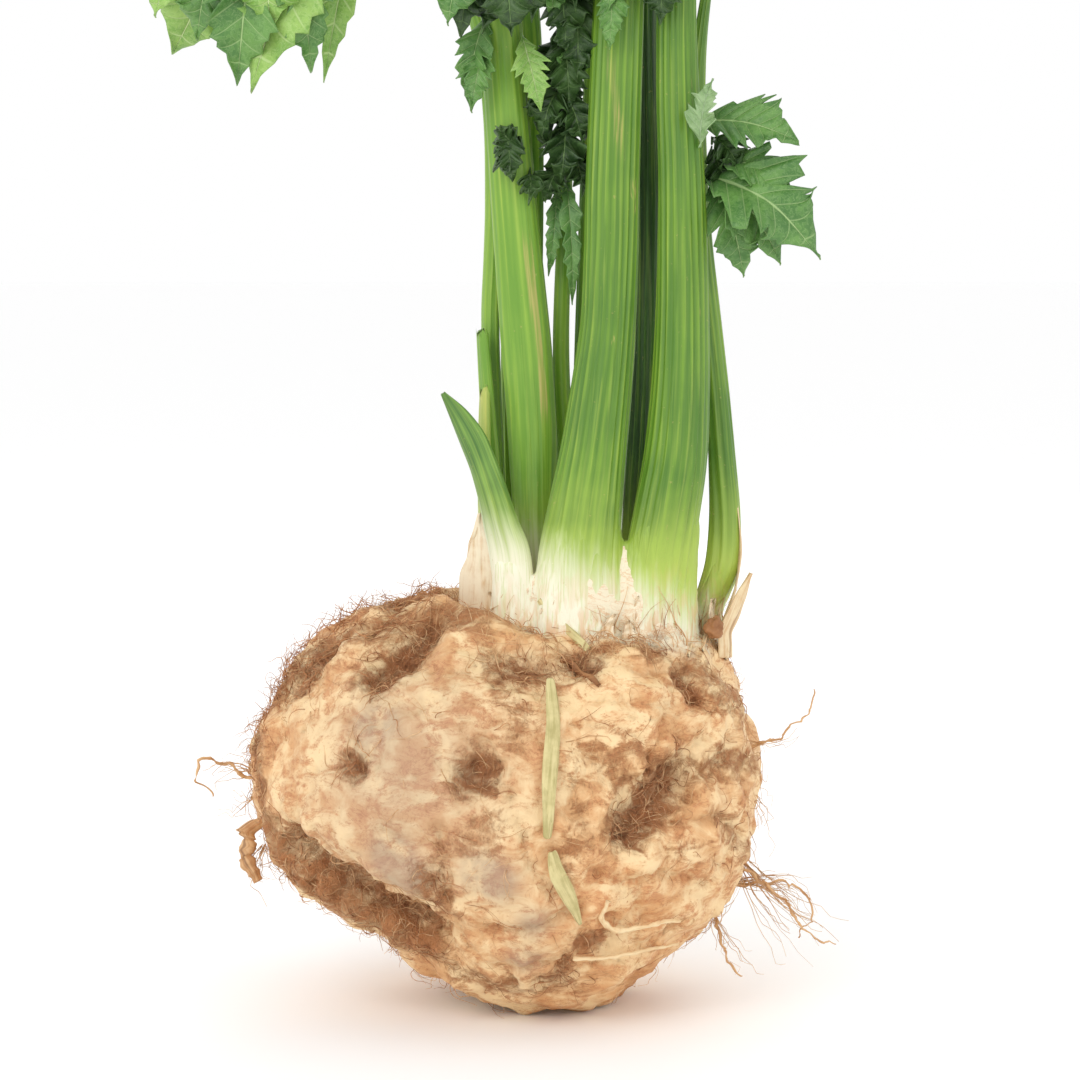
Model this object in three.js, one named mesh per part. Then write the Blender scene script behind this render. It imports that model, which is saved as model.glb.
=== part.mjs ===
// A celeriac root as picked: a knobbly swollen root with its rootlets, and on its crown the ribbed leaf
// stalks, the stubs of broken ones, and the leaflets that the stalks carry.
// Millimetres, +Z up, front towards -Y. The origin is the middle of the small flat spot it stands on.
import * as THREE from 'three';
import { mergeVertices } from 'three/addons/utils/BufferGeometryUtils.js';

// ---- Driving dimensions ----
const ROOT_CENTRE = new THREE.Vector3(-10, 0, 50); // the middle of the swollen root
const ROOT_FRONT = 55; // from the middle to the front of the root
const ROOT_BACK = 51; // and to its back
const CROWN = { x: 13, y: 0, rx: 35, ry: 27, top: 96, rim: 55 }; // the flat top that the stalks grow from
const GAP = 0.35; // kept between pieces that grow from each other
const LEAF_THICK = 0.6;
const LYING = 1.25; // how high the middle of a strip or rootlet that lies on the root is above its surface
const ROOT_DETAIL = 14; // how finely the root's ball is divided
const UP = new THREE.Vector3(0, 0, 1);

// The root's outline as seen from the front, (x, z), anticlockwise from its right side.
const ROOT_OUTLINE = [
  [52.5, 54], [50, 76], [43, 90], [33, 98], [10, 102], [-20, 107], [-37, 102], [-51, 95], [-65, 82],
  [-73, 66], [-74, 52], [-71, 39], [-62, 29], [-45, 18], [-28, 8], [-13, 0], [0, -3.5], [15, -0.5],
  [26, 7], [36, 15], [46, 25], [51.5, 37],
];

// Lobes (height above 0) and hollows (below 0): the x and z of the middle, whether it is on the front or the
// back, its spread and its height.
const LUMPS = [
  ['big left lobe', -33, 66.5, 'front', 26, 2.4],
  ['upper lobe', -18, 84.5, 'front', 9, 1.8],
  ['upper right lobe', 20, 83, 'front', 10, 2.2],
  ['low front lobe', -5.5, 38.5, 'front', 12, 2.2],
  ['lower right lobe', 23.5, 41.5, 'front', 9, 2.6],
  ['right cheek', 42.5, 58, 'front', 8, 1.5],
  ['bottom lobe', 14, 14, 'front', 7, 1.2],
  ['upper left hollow', -34.5, 92.5, 'front', 8, -4],
  ['left rim hollow', -55.5, 85.5, 'front', 7, -2.4],
  ['middle pit', -16, 66, 'front', 5.5, -3.6],
  ['left pit', -44.5, 66, 'front', 4, -2.4],
  ['crown pit', -5, 89, 'front', 5, -2.4],
  ['right shoulder pit', 35, 82.5, 'front', 5, -3],
  ['right hollow', 23.5, 56, 'front', 8, -4.6],
  ['right hollow, upper end', 34, 65.5, 'front', 6, -2.8],
  ['cleft, outer end', -58.5, 40.5, 'front', 6, -4],
  ['cleft, middle', -47.5, 35, 'front', 7, -5.4],
  ['cleft, inner end', -35, 30, 'front', 6, -4.2],
  ['crease', -26, 40.5, 'front', 3.5, -1.8],
  ['lower front hollow', 10, 24, 'front', 5, -2.4],
  ['back lobe, left', -44, 60, 'back', 20, 3],
  ['back lobe, right', 24, 46, 'back', 18, 3],
  ['back lobe, low', -12, 20, 'back', 12, 2.5],
  ['back hollow', -2, 66, 'back', 8, -5],
  ['back hollow, left', -58, 38, 'back', 7, -4],
  ['back hollow, right', 36, 72, 'back', 7, -4],
  ['back pit', -26, 84, 'back', 5, -3],
];
const KNOBS = { count: 150, spread: 6.5, height: 1.0 }; // small lumps all over, evenly spread

// ---- The swollen root ----
const radians = THREE.MathUtils.degToRad;

function heading(lon, lat) {
  const [a, b] = [radians(lon), radians(lat)];
  return new THREE.Vector3(Math.sin(a) * Math.cos(b), -Math.cos(a) * Math.cos(b), Math.sin(b));
}

// The outline as [angle, radius] pairs about the root's centre, sorted by angle.
const OUTLINE_POLAR = new THREE.CatmullRomCurve3(
  ROOT_OUTLINE.map(([x, z]) => new THREE.Vector3(x, 0, z)), true, 'centripetal')
  .getSpacedPoints(360)
  .map((p) => p.sub(ROOT_CENTRE))
  .map((p) => [Math.atan2(p.z, p.x), Math.hypot(p.x, p.z)])
  .sort((a, b) => a[0] - b[0]);

function outlineRadius(angle) {
  const after = OUTLINE_POLAR.findIndex(([a]) => a >= angle);
  if (after <= 0) return OUTLINE_POLAR[0][1];
  const [[a0, r0], [a1, r1]] = [OUTLINE_POLAR[after - 1], OUTLINE_POLAR[after]];
  return THREE.MathUtils.lerp(r0, r1, (angle - a0) / Math.max(a1 - a0, 1e-6));
}

// The heading, from the root's centre, of the place with this x and z on its front or its back.
function headingAt(x, z, side = 'front') {
  const d = new THREE.Vector3(x, 0, z).sub(ROOT_CENTRE);
  const share = Math.min(Math.hypot(d.x, d.z) / outlineRadius(Math.atan2(d.z, d.x)), 1);
  d.y = Math.sqrt(1 - share * share) * (side === 'front' ? -ROOT_FRONT : ROOT_BACK);
  return d.normalize();
}

const bumps = LUMPS.map(([, x, z, side, spread, height]) => (
  { at: headingAt(x, z, side), spread: spread / ROOT_FRONT, height }));
for (let k = 0; k < KNOBS.count; k++) {
  const up = 1 - (2 * k + 1) / KNOBS.count; // evenly spread on a golden-angle spiral
  const turn = k * Math.PI * (3 - Math.sqrt(5));
  const out = Math.sqrt(1 - up * up);
  bumps.push({
    at: new THREE.Vector3(out * Math.cos(turn), out * Math.sin(turn), up),
    spread: radians(KNOBS.spread * (1 + 0.3 * Math.sin(7 * k))),
    height: KNOBS.height * Math.sin(2.4 * k + 1),
  });
}

// The root's surface in the direction d from its centre, raised by `lift` mm.
function onRoot(d, lift = 0) {
  const across = Math.hypot(d.x, d.z);
  const depth = d.y < 0 ? ROOT_FRONT : ROOT_BACK;
  const side = outlineRadius(Math.atan2(d.z, d.x));
  let r = 1 / Math.hypot(across / side, d.y / depth);
  for (const b of bumps) r += b.height * Math.exp(-((d.angleTo(b.at) / b.spread) ** 2));
  const p = ROOT_CENTRE.clone().addScaledVector(d, r + lift);
  const fromCrown = Math.hypot((p.x - CROWN.x) / CROWN.rx, (p.y - CROWN.y) / CROWN.ry);
  const ceiling = CROWN.top + lift + CROWN.rim * Math.max(0, fromCrown - 1);
  return p.set(p.x, p.y, THREE.MathUtils.clamp(p.z, lift > 0 ? lift : 0, Math.max(ceiling, CROWN.top)));
}

function rootGeometry(detail) {
  const g = new THREE.IcosahedronGeometry(1, detail);
  g.deleteAttribute('normal');
  g.deleteAttribute('uv');
  const ball = mergeVertices(g, 1e-5);
  const pos = ball.attributes.position;
  for (let i = 0; i < pos.count; i++) {
    const p = onRoot(new THREE.Vector3().fromBufferAttribute(pos, i).normalize());
    pos.setXYZ(i, p.x, p.y, p.z);
  }
  return ball;
}

// ---- Sweeps: stalks, stubs, strips and rootlets ----
// Sections are (across, outward) for an angle, on a unit circle.
const SECTIONS = {
  round: (a) => [Math.cos(a), Math.sin(a)],
  // Convex outside, and a shallow groove along the inside.
  stalk: (a) => {
    const s = Math.sin(a);
    return [Math.cos(a), s > 0 ? s : s * (0.9 - 0.75 * s * s)];
  },
};

// A value along a list of evenly or unevenly placed stations, smoothly.
function along(values, t) {
  const f = t * (values.length - 1);
  const i = Math.min(Math.floor(f), values.length - 2);
  return THREE.MathUtils.lerp(values[i], values[i + 1], f - i);
}

// A solid that follows `path`, closed by flat ends. `face` is the heading of its outer side in degrees, 0 at
// the front and 90 at the right. Widths run across it and depths from its inner to its outer side.
function sweep({ path, widths, depths, face = 0, sides = 10, steps = 12, section = 'round', flatFoot = false }) {
  const curve = new THREE.CatmullRomCurve3(path.map((p) => new THREE.Vector3(...p)), false, 'centripetal');
  const out = face instanceof THREE.Vector3 ? face : heading(face, 0);
  const g = new THREE.CylinderGeometry(1, 1, 1, sides, steps);
  g.deleteAttribute('normal');
  g.deleteAttribute('uv');
  const tube = mergeVertices(g, 1e-5);
  const pos = tube.attributes.position;
  for (let i = 0; i < pos.count; i++) {
    const t = pos.getY(i) + 0.5;
    const tangent = flatFoot && t < 1e-6 ? UP.clone() : curve.getTangent(t);
    const across = new THREE.Vector3().crossVectors(tangent, out).normalize();
    const outward = new THREE.Vector3().crossVectors(across, tangent).normalize();
    const reach = Math.hypot(pos.getX(i), pos.getZ(i)); // 0 at the middle of an end, 1 on the wall
    const [u, v] = SECTIONS[section](Math.atan2(pos.getZ(i), pos.getX(i)));
    const p = curve.getPoint(t)
      .addScaledVector(across, u * reach * along(widths, t) / 2)
      .addScaledVector(outward, v * reach * along(depths, t) / 2);
    pos.setXYZ(i, p.x, p.y, p.z);
  }
  return tube;
}

// ---- Leaflets ----
// Half of a leaflet's outline, as shares of its length and width: a wedge that ends in toothed lobes.
const HALF_LEAFLET = [
  [0, 0.03], [0.12, 0.035], [0.18, 0.2], [0.28, 0.36], [0.41, 0.46], [0.57, 0.5], [0.72, 0.43],
  [0.65, 0.28], [0.61, 0.19], [0.79, 0.17], [0.9, 0.12], [1, 0],
];
// A whole leaf has three leaflets: where they leave its midrib, as a share of its length, the length of a side
// leaflet, as a share too, and the angle at which it stands off.
const WHOLE_LEAF = { endAt: 0.26, sideAt: 0.2, sideLength: 0.52, sideTurn: radians(62) };

function halfLeaflet(length, width) {
  return HALF_LEAFLET.map(([u, v]) => new THREE.Vector2(u * length, v * width));
}

// The upper half of a whole leaf's outline, from its base to its tip. `width` is the end leaflet's.
function halfWholeLeaf(length, width) {
  const { endAt, sideAt, sideLength, sideTurn } = WHOLE_LEAF;
  const edge = halfLeaflet(length * sideLength, width * sideLength / (1 - endAt)).slice(1);
  const mirrored = edge.map(({ x, y }) => new THREE.Vector2(x, -y)).reverse().slice(1);
  const side = [...edge, ...mirrored].map((p) => (
    p.rotateAround(new THREE.Vector2(), sideTurn).add(new THREE.Vector2(sideAt * length, 0))));
  const end = halfLeaflet(length * (1 - endAt), width).map((p) => p.add(new THREE.Vector2(endAt * length, 0)));
  return [new THREE.Vector2(0, 0.03 * width), ...side, ...end.slice(1)];
}

// A leaflet, or a whole leaf, from `base` to `tip`, with its upper side towards `up`. Its middle arches above
// the straight line by `arch` of its length, and its halves fold up by `fold` of their width.
function leaf({ base, tip, up, width, whole, arch = 0.12, fold = 0.15 }) {
  const b = new THREE.Vector3(...base);
  const x = new THREE.Vector3(...tip).sub(b);
  const length = x.length();
  const half = (whole ? halfWholeLeaf : halfLeaflet)(length, width);
  const otherHalf = half.slice(0, -1).map((p) => new THREE.Vector2(p.x, -p.y)).reverse();
  const flat = new THREE.ExtrudeGeometry(
    new THREE.Shape([...half, ...otherHalf]), { depth: LEAF_THICK, bevelEnabled: false });
  const pos = flat.attributes.position;
  for (let i = 0; i < pos.count; i++) {
    const share = pos.getX(i) / length;
    const rise = 4 * arch * length * share * (1 - share) + fold * Math.abs(pos.getY(i));
    pos.setZ(i, pos.getZ(i) - LEAF_THICK / 2 + rise);
  }
  x.normalize();
  const y = new THREE.Vector3(...up).cross(x).normalize();
  const z = new THREE.Vector3().crossVectors(x, y);
  return { geometry: flat, position: b, rotation: new THREE.Matrix4().makeBasis(x, y, z) };
}

// ---- The pieces ----
const COLOURS = {
  root_skin: ['#d3ad84', 0.75],
  stalk_green: ['#8fb14c', 0.45],
  stalk_dry: ['#e0cda8', 0.8],
  leaf_green: ['#557d3a', 0.5],
  rootlet: ['#c99c6c', 0.8],
};
const MATERIALS = Object.fromEntries(Object.entries(COLOURS).map(([name, [color, roughness]]) => [
  name, new THREE.MeshStandardMaterial({ color, roughness, metalness: 0 })]));

const celeriac = new THREE.Group();

function add(name, material, geometry) {
  const mesh = new THREE.Mesh(geometry, MATERIALS[material]);
  mesh.name = name;
  celeriac.add(mesh);
  return mesh;
}

add('swollen_root', 'root_skin', rootGeometry(ROOT_DETAIL));

// Whole leaf stalks. Each path starts on the crown. `face` is where the stalk's outer side looks.
const FOOT = CROWN.top + GAP;
const STALKS = {
  stalk_front: {
    face: 0, widths: [19.5, 20, 16, 13.4, 13, 12, 8, 3], depths: [12, 12.5, 12, 11, 10, 9, 6.5, 2.6],
    path: [[8, -17, FOOT], [8.5, -17.5, 113], [12, -16.5, 140], [15.2, -15, 170], [16.2, -13.5, 205],
      [18, -12, 251], [20, -13, 290], [22, -16, 325]],
  },
  stalk_front_right: {
    face: 20, widths: [18, 17.5, 16, 13.5, 11.5, 9.5, 6.5, 3], depths: [11, 12, 11.5, 10.5, 9.5, 8, 5.5, 2.6],
    path: [[26.5, -14, FOOT], [28, -15, 112], [32, -14.5, 138], [33.2, -13.5, 170], [33, -12.5, 205],
      [32, -11, 251], [37, -12, 285], [44, -15, 312]],
  },
  stalk_front_left: {
    face: -20, widths: [10, 11, 12.5, 12.8, 11.6, 10.6, 7, 3], depths: [8.5, 9, 10, 10, 9.5, 8.5, 6, 2.6],
    path: [[-0.5, 0, FOOT], [-2.5, -2, 118], [-3.2, -3, 140], [-4.6, -3.5, 165], [-7.5, -4, 200],
      [-10.5, -4, 240], [-12, -6, 265], [-13, -9, 284]],
  },
  stalk_right: {
    face: 75, widths: [10, 11, 9, 7.6, 6.6, 6, 4.6, 2.6], depths: [9, 11.5, 9.5, 7.5, 6.6, 6, 4.4, 2.4],
    path: [[38.5, 1, FOOT], [43.2, 2, 111], [43.2, 3, 135], [41.3, 4, 162], [38.3, 4, 190],
      [37, 4, 215], [38, 5, 240], [42, 6, 266]],
  },
  stalk_left_arching: {
    face: -90, widths: [8, 8, 8, 8, 7.5, 6.5, 4.6, 2.6], depths: [7, 7, 7, 7, 7, 6, 4.4, 2.4],
    path: [[-10, 9, FOOT], [-11.5, 9, 135], [-12.6, 8.5, 172], [-11.5, 9, 200], [-14, 8, 240],
      [-26, 5, 268], [-45, 0, 286], [-62, -4, 288]],
  },
  stalk_young: {
    face: 0, widths: [5, 4.6, 4.2, 3.8, 3], depths: [4.6, 4.4, 4, 3.6, 3],
    path: [[10, -1, FOOT], [6, 2, 130], [4, 3, 160], [4.6, 2, 190], [5.5, -1, 212]],
  },
  stalk_middle: {
    face: 20, widths: [9, 9, 8.5, 8, 7, 5.4, 2.6], depths: [8, 8, 8, 7.5, 6.5, 5, 2.4],
    path: [[22, 1, FOOT], [24, 1.5, 125], [25.5, 1.5, 165], [25.5, 1.5, 205], [25, 1, 251],
      [27, -1, 300], [30, -3, 340]],
  },
  stalk_back_left: {
    face: -160, widths: [12, 12, 10.5, 10, 9, 6.5, 2.8], depths: [9, 9.5, 9, 8.5, 8, 6, 2.6],
    path: [[-3, 16, FOOT], [-5, 18, 120], [-6, 19.5, 160], [-5, 20.5, 205], [-6, 22, 251],
      [-12, 26, 290], [-21, 32, 318]],
  },
  stalk_back: {
    face: 180, widths: [13, 13, 11.5, 11, 10, 7, 2.8], depths: [9.5, 10.5, 10, 9, 8.5, 6, 2.6],
    path: [[13, 16.5, FOOT], [13, 18.5, 120], [13.5, 20, 160], [14.5, 21, 205], [15, 23, 251],
      [14, 28, 300], [11, 35, 336]],
  },
  stalk_back_right: {
    face: 145, widths: [11, 11, 10, 9, 8, 6, 2.8], depths: [9, 9.5, 9, 8.5, 7.5, 5.5, 2.6],
    path: [[29, 14.5, FOOT], [31, 16.5, 120], [32, 18, 160], [32, 19, 205], [34, 20, 251],
      [42, 23, 290], [53, 28, 318]],
  },
};
for (const [name, shape] of Object.entries(STALKS)) {
  add(name, 'stalk_green', sweep({ ...shape, section: 'stalk', flatFoot: true, steps: 14 }));
}

// Stubs of stalks that broke off or were cut, and two dry sheaths at the crown's sides.
const STUBS = {
  stub_pointed: {
    face: -25, widths: [10, 11, 9, 7.4, 6.8, 1.2], depths: [8, 8, 6.5, 5, 4, 1],
    path: [[-8.2, -14.5, FOOT], [-8.2, -16, 112], [-11, -17, 123], [-14.4, -17, 134], [-19.2, -17, 145],
      [-25, -17, 153.5]],
  },
  stub_left_tall: {
    face: -70, widths: [5.5, 6, 6, 5.4], depths: [4.4, 4.4, 4, 3.4],
    path: [[-10, 1, FOOT], [-12, 0.5, 128], [-14, 0.5, 150], [-15.4, 0.5, 169]],
  },
  stub_left_short: {
    face: -60, widths: [4.4, 4.6, 4.6, 4], depths: [3.2, 3.2, 3, 2.4],
    path: [[-14.5, -5, FOOT], [-15, -5.5, 125], [-14.8, -5.5, 142], [-14.8, -5.5, 155]],
  },
};
for (const [name, shape] of Object.entries(STUBS)) {
  add(name, 'stalk_green', sweep({ ...shape, section: 'stalk', flatFoot: true, steps: 8 }));
}

const SHEATHS = {
  sheath_left: {
    face: -25, widths: [9, 9.5, 6, 0.8], depths: [1.4, 1.4, 1.2, 0.8],
    path: [[-15.6, -7.5, FOOT + 0.4], [-15.4, -9.5, 108], [-15.7, -10, 116], [-16, -10, 123.5]],
  },
  sheath_right: {
    face: 62, widths: [8, 8, 6, 0.8], depths: [1.6, 1.6, 1.2, 0.8],
    path: [[44.8, -7, 93.5], [46.5, -7.5, 98], [48.6, -8, 103], [51, -8, 108.5]],
  },
};
for (const [name, shape] of Object.entries(SHEATHS)) {
  add(name, 'stalk_dry', sweep({ ...shape, steps: 6, sides: 8 }));
}

// A brown knob at the crown's right.
const KNOB = { at: [41.5, -13.5, 95.5], radii: [2.4, 2, 2.8] };
const knob = new THREE.IcosahedronGeometry(1, 3);
knob.scale(...KNOB.radii);
add('crown_knob', 'rootlet', knob).position.set(...KNOB.at);

// Strips and rootlets that lie on the root, led over its front through these x and z.
function over(stops) {
  return stops.map(([x, z]) => onRoot(headingAt(x, z), LYING).toArray());
}

const STRIPS = {
  strip_front: {
    widths: [3.4, 3.8, 3.6, 3], stops: [[1, 86], [1.5, 77], [1, 68.5], [0.5, 59.5], [0, 51]],
  },
  strip_front_low: {
    widths: [3.2, 4.2, 3.4, 1.6], stops: [[1, 48], [2.5, 42.5], [5.5, 36], [8, 29.5]],
  },
};
for (const [name, { widths, stops }] of Object.entries(STRIPS)) {
  add(name, 'stalk_dry', sweep({
    path: over(stops), widths, depths: [0.8, 0.9, 0.8, 0.6], face: 12, sides: 8, steps: 12,
  }));
}

// Rootlets: those in the air are given point by point, and those on the root by x and z.
const ROOTLETS = {
  rootlet_left_curl: {
    widths: [1.2, 1, 0.8, 0.5],
    path: [[-74.4, -2, 56.1], [-80, -4, 60.5], [-86, -5, 60.5], [-87, -5, 56.5], [-83.8, -5, 52.5]],
  },
  rootlet_left_stub: {
    widths: [3.4, 3.6, 2], path: [[-74.1, -5.9, 44.2], [-75, -7.5, 39], [-71, -9.5, 32]],
  },
  rootlet_right_long: {
    widths: [1.4, 1, 0.8, 0.6],
    path: [[52.5, -6, 65], [57.5, -8, 66.8], [63.8, -9, 72.5], [66.3, -8, 79.3]],
  },
  rootlet_right_upper: {
    widths: [1.4, 1.1, 0.9, 0.6],
    path: [[51.1, -7.8, 33.8], [61, -10, 25], [66, -10, 17.5], [72.5, -9, 16.2]],
  },
  rootlet_right_lower: {
    widths: [1.4, 1.1, 0.9, 0.6],
    path: [[49.8, -4, 29], [56.3, -5, 30.5], [63.8, -5, 28.8], [67.5, -5, 22.5], [63.8, -4, 16.2]],
  },
  rootlet_right_hook: {
    widths: [1.6, 1.2, 1, 0.6],
    path: [[43.1, -9.6, 21.3], [43.6, -12, 15], [46, -13, 12], [48.3, -13, 9]],
  },
  rootlet_front_curved: {
    widths: [1.5, 1.4, 1.3, 1], stops: [[14, 35.5], [12.5, 31], [17, 27], [23.5, 28], [31.5, 27.5]],
  },
  rootlet_front_straight: {
    widths: [1.2, 1.1, 1, 0.8], stops: [[6.5, 20], [14, 20], [22.5, 20.5], [31.5, 20.5]],
  },
  rootlet_back: {
    widths: [1.6, 1.2, 0.9, 0.6],
    path: [[-28.9, 43.7, 32], [-36, 53, 22], [-44, 57, 15], [-49, 56, 6]],
  },
};
for (const [name, { path, stops, widths }] of Object.entries(ROOTLETS)) {
  add(name, 'rootlet', sweep({ path: path ?? over(stops), widths, depths: widths, face: UP, sides: 6 }));
}

// The leaves: base, tip, the way the upper side looks, and the width of the end leaflet.
const LEAVES = {
  leaf_left_end: [[-63.3, -3.5, 287], [-92, 0, 236], [0.3, -0.9, 0.3], 28],
  leaf_right_end: [[42.4, 4.9, 266.6], [72, -16, 298], [-0.5, -0.6, 0.7], 30],
  leaf_front_left_end: [[-13.2, -9.3, 284.8], [-27, -38, 332], [0, 0.9, 0.5], 34],
  leaf_front_end: [[22.1, -16.4, 325.6], [26, -42, 380], [0, 0.9, 0.4], 38],
  leaf_front_right_end: [[44.5, -15.2, 312.7], [77, -32, 358], [-0.3, 0.8, 0.5], 34],
  leaf_middle_end: [[30.1, -3.2, 340.5], [38, -6, 402], [0, 0.9, 0.2], 38],
  leaf_back_left_end: [[-21.2, 32.4, 318.7], [-52, 54, 364], [0.3, -0.8, 0.5], 36],
  leaf_back_end: [[10.8, 35.4, 336.7], [0, 64, 390], [0, -0.9, 0.4], 38],
  leaf_back_right_end: [[53.3, 28.2, 318.8], [90, 46, 356], [-0.2, -0.6, 0.8], 34],
};
const LEAFLETS = {
  leaf_left_low: [[-50.3, -2.6, 284.9], [-71, -19.5, 226.8], [0, -1, 0.2], 30],
  leaf_left_narrow: [[-42.1, -1.6, 281.7], [-54.5, -8, 230], [0, -1, 0.1], 13],
  leaf_left_inner: [[-55.5, -0.5, 286.3], [-60, 7, 238], [0, -1, 0.2], 18],
  leaf_right_flap: [[37.6, -15, 212.9], [40, -19, 229], [-0.4, -0.9, 0.2], 8],
  leaf_right_upper: [[37.6, 0.6, 219.4], [61.5, -13, 214.5], [0, -0.8, 0.6], 20],
  leaf_right_lower: [[37.7, 0.1, 206.8], [66.5, -19, 190], [0.2, -0.9, 0.5], 27],
  leaf_right_dark: [[40.8, 3.1, 210.9], [51, 6, 205], [0.2, -0.9, 0.4], 9],
  leaf_front_left_hanging: [[-15.1, -6.7, 238.2], [-18, -13, 222], [0, -1, 0.2], 8],
  leaf_front_left_dark: [[-9.3, -9.1, 218], [-8, -14, 205], [0, -1, 0.2], 8],
  leaf_front_left_side: [[-15.4, -8.9, 271.1], [-50, -34, 300], [-0.2, 0.8, 0.6], 34],
  leaf_bright: [[-5.5, -7.3, 240.6], [-1, -13, 221.5], [0, -1, 0.2], 9],
  leaf_young_end: [[5.7, -1.1, 212.6], [8, -5, 230], [-0.3, -0.9, 0.1], 8],
  leaf_young_side: [[3.2, -0.1, 210.8], [-1.4, -4.4, 223.5], [-0.3, -0.9, 0.2], 6],
  leaf_front_tip: [[16.1, -16.8, 251.9], [15.4, -23, 236.5], [0, -1, 0.2], 8],
  leaf_front_side_left: [[18.7, -16.9, 306], [-16, -44, 330], [-0.2, 0.8, 0.6], 36],
  leaf_front_side_right: [[23.1, -16.6, 304.1], [56, -52, 322], [0.2, 0.8, 0.7], 36],
  leaf_between: [[28.8, -14.3, 258.7], [27.6, -20, 242.5], [0, -1, 0.1], 11],
  leaf_upper_left_dark: [[-13.2, -9.4, 263.3], [-21, -18, 240.5], [-0.2, -1, 0.2], 16],
  leaf_front_right_side: [[40.3, -14.4, 286.5], [80, -36, 296], [0.2, -0.2, 0.9], 34],
  leaf_middle_side: [[25.9, -1.6, 321.7], [-8, 6, 362], [-0.3, 0.9, 0.4], 34],
  leaf_back_left_side: [[-17.3, 25.9, 294.2], [-60, 32, 318], [0, -0.5, 0.9], 36],
  leaf_back_side: [[15.7, 33, 316], [48, 60, 346], [0.2, -0.7, 0.7], 36],
  leaf_back_right_side: [[45.2, 20.6, 295.8], [84, 14, 308], [0, -0.3, 0.95], 34],
};
for (const [list, whole] of [[LEAVES, true], [LEAFLETS, false]]) {
  for (const [name, [base, tip, up, width]] of Object.entries(list)) {
    const { geometry, position, rotation } = leaf({ base, tip, up, width, whole });
    const mesh = add(name, 'leaf_green', geometry);
    mesh.position.copy(position);
    mesh.quaternion.setFromRotationMatrix(rotation);
  }
}

export default celeriac;
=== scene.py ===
# %% [markdown]
# # A celeriac root as picked
#
# A celeriac is a kind of celery that is grown for its swollen root. This one has been pulled up whole: a
# knobbly root that stands on a small flat spot, hair-like rootlets matted in its hollows, and a crown of
# ribbed green stalks with toothed leaflets. The frame, loaded first, says where every piece is and how big.
# Everything after it only adds the surface: skin, ribs, veins and hairs.

# %% Load the fixed frame
import math

import bpy
import numpy as np
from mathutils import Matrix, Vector, noise
from mathutils.bvhtree import BVHTree


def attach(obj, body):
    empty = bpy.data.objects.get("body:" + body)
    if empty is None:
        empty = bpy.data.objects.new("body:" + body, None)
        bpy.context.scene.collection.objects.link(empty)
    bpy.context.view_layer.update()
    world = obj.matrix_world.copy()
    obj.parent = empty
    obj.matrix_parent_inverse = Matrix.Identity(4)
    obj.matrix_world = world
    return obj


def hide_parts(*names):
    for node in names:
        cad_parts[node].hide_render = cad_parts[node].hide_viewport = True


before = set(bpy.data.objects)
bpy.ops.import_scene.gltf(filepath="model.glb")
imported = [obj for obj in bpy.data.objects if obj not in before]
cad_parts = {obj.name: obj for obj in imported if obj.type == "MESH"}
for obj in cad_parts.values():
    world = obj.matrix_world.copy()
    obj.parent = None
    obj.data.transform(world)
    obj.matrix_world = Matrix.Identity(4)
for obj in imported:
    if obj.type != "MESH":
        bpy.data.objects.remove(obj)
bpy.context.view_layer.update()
MM = 0.001
print("nodes in the frame:", len(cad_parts))

# %% [markdown]
# ## Camera, floor and light
#
# The camera looks at the front, a little downwards, through a long lens, so that the root isn't bulged by
# the perspective. The light is a studio's: a large soft lamp in front and to the left, a weaker one at the
# right, and a pale surrounding that fills the shadows.

# %% Camera
LENS = 100
VIEW_CENTRE = Vector((-1.25, 0, 116)) * MM
VIEW_DISTANCE = 0.75
VIEW_TILT = math.radians(5)

towards_camera = Vector((0, -math.cos(VIEW_TILT), math.sin(VIEW_TILT)))
bpy.ops.object.camera_add(
    location=VIEW_CENTRE + towards_camera * VIEW_DISTANCE, rotation=(math.pi / 2 - VIEW_TILT, 0, 0))
camera = bpy.context.object
camera.data.lens = LENS
camera.data.clip_start = 0.01
bpy.context.scene.camera = camera
print("the view is", round(1000 * VIEW_DISTANCE * camera.data.sensor_width / LENS), "mm wide")

# %% Floor and lights
def lamp(name, place, size, power):
    """A square soft lamp, `size` m wide, that shines on the middle of the plant."""
    bpy.ops.object.light_add(type="AREA", location=place)
    light = bpy.context.object
    light.name = name
    light.data.size = size
    light.data.energy = power
    light.rotation_euler = (VIEW_CENTRE - light.location).to_track_quat("-Z", "Y").to_euler()


bpy.ops.mesh.primitive_plane_add(size=200)
floor = bpy.context.object
floor.name = "floor"
floor.data.materials.append(bpy.data.materials.new("pale_floor"))
floor.data.materials[0].use_nodes = True
floor_shader = floor.data.materials[0].node_tree.nodes["Principled BSDF"]
floor_shader.inputs["Base Color"].default_value = (0.99, 0.99, 0.99, 1)
floor_shader.inputs["Roughness"].default_value = 0.9

lamp("key_lamp", (-0.7, -1.1, 1.0), 0.9, 6.5)
lamp("fill_lamp", (1.0, -0.9, 0.5), 0.9, 1.5)
lamp("back_lamp", (0.3, 1.3, 0.9), 0.8, 3)

world = bpy.data.worlds.new("studio")
bpy.context.scene.world = world
world.use_nodes = True
world.node_tree.nodes["Background"].inputs["Color"].default_value = (1, 1, 1, 1)
world.node_tree.nodes["Background"].inputs["Strength"].default_value = 1.0
bpy.context.scene.view_settings.view_transform = "Standard"

# %% [markdown]
# ## Helpers for shapes
#
# Each piece starts from what the frame holds or from a primitive, and keeps its object at the origin. These
# helpers pick a piece, apply a modifier to it, and read and write its points in millimetres.

# %% Pick, modify, read and write
def select_only(piece):
    bpy.ops.object.select_all(action="DESELECT")
    piece.select_set(True)
    bpy.context.view_layer.objects.active = piece


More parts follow.
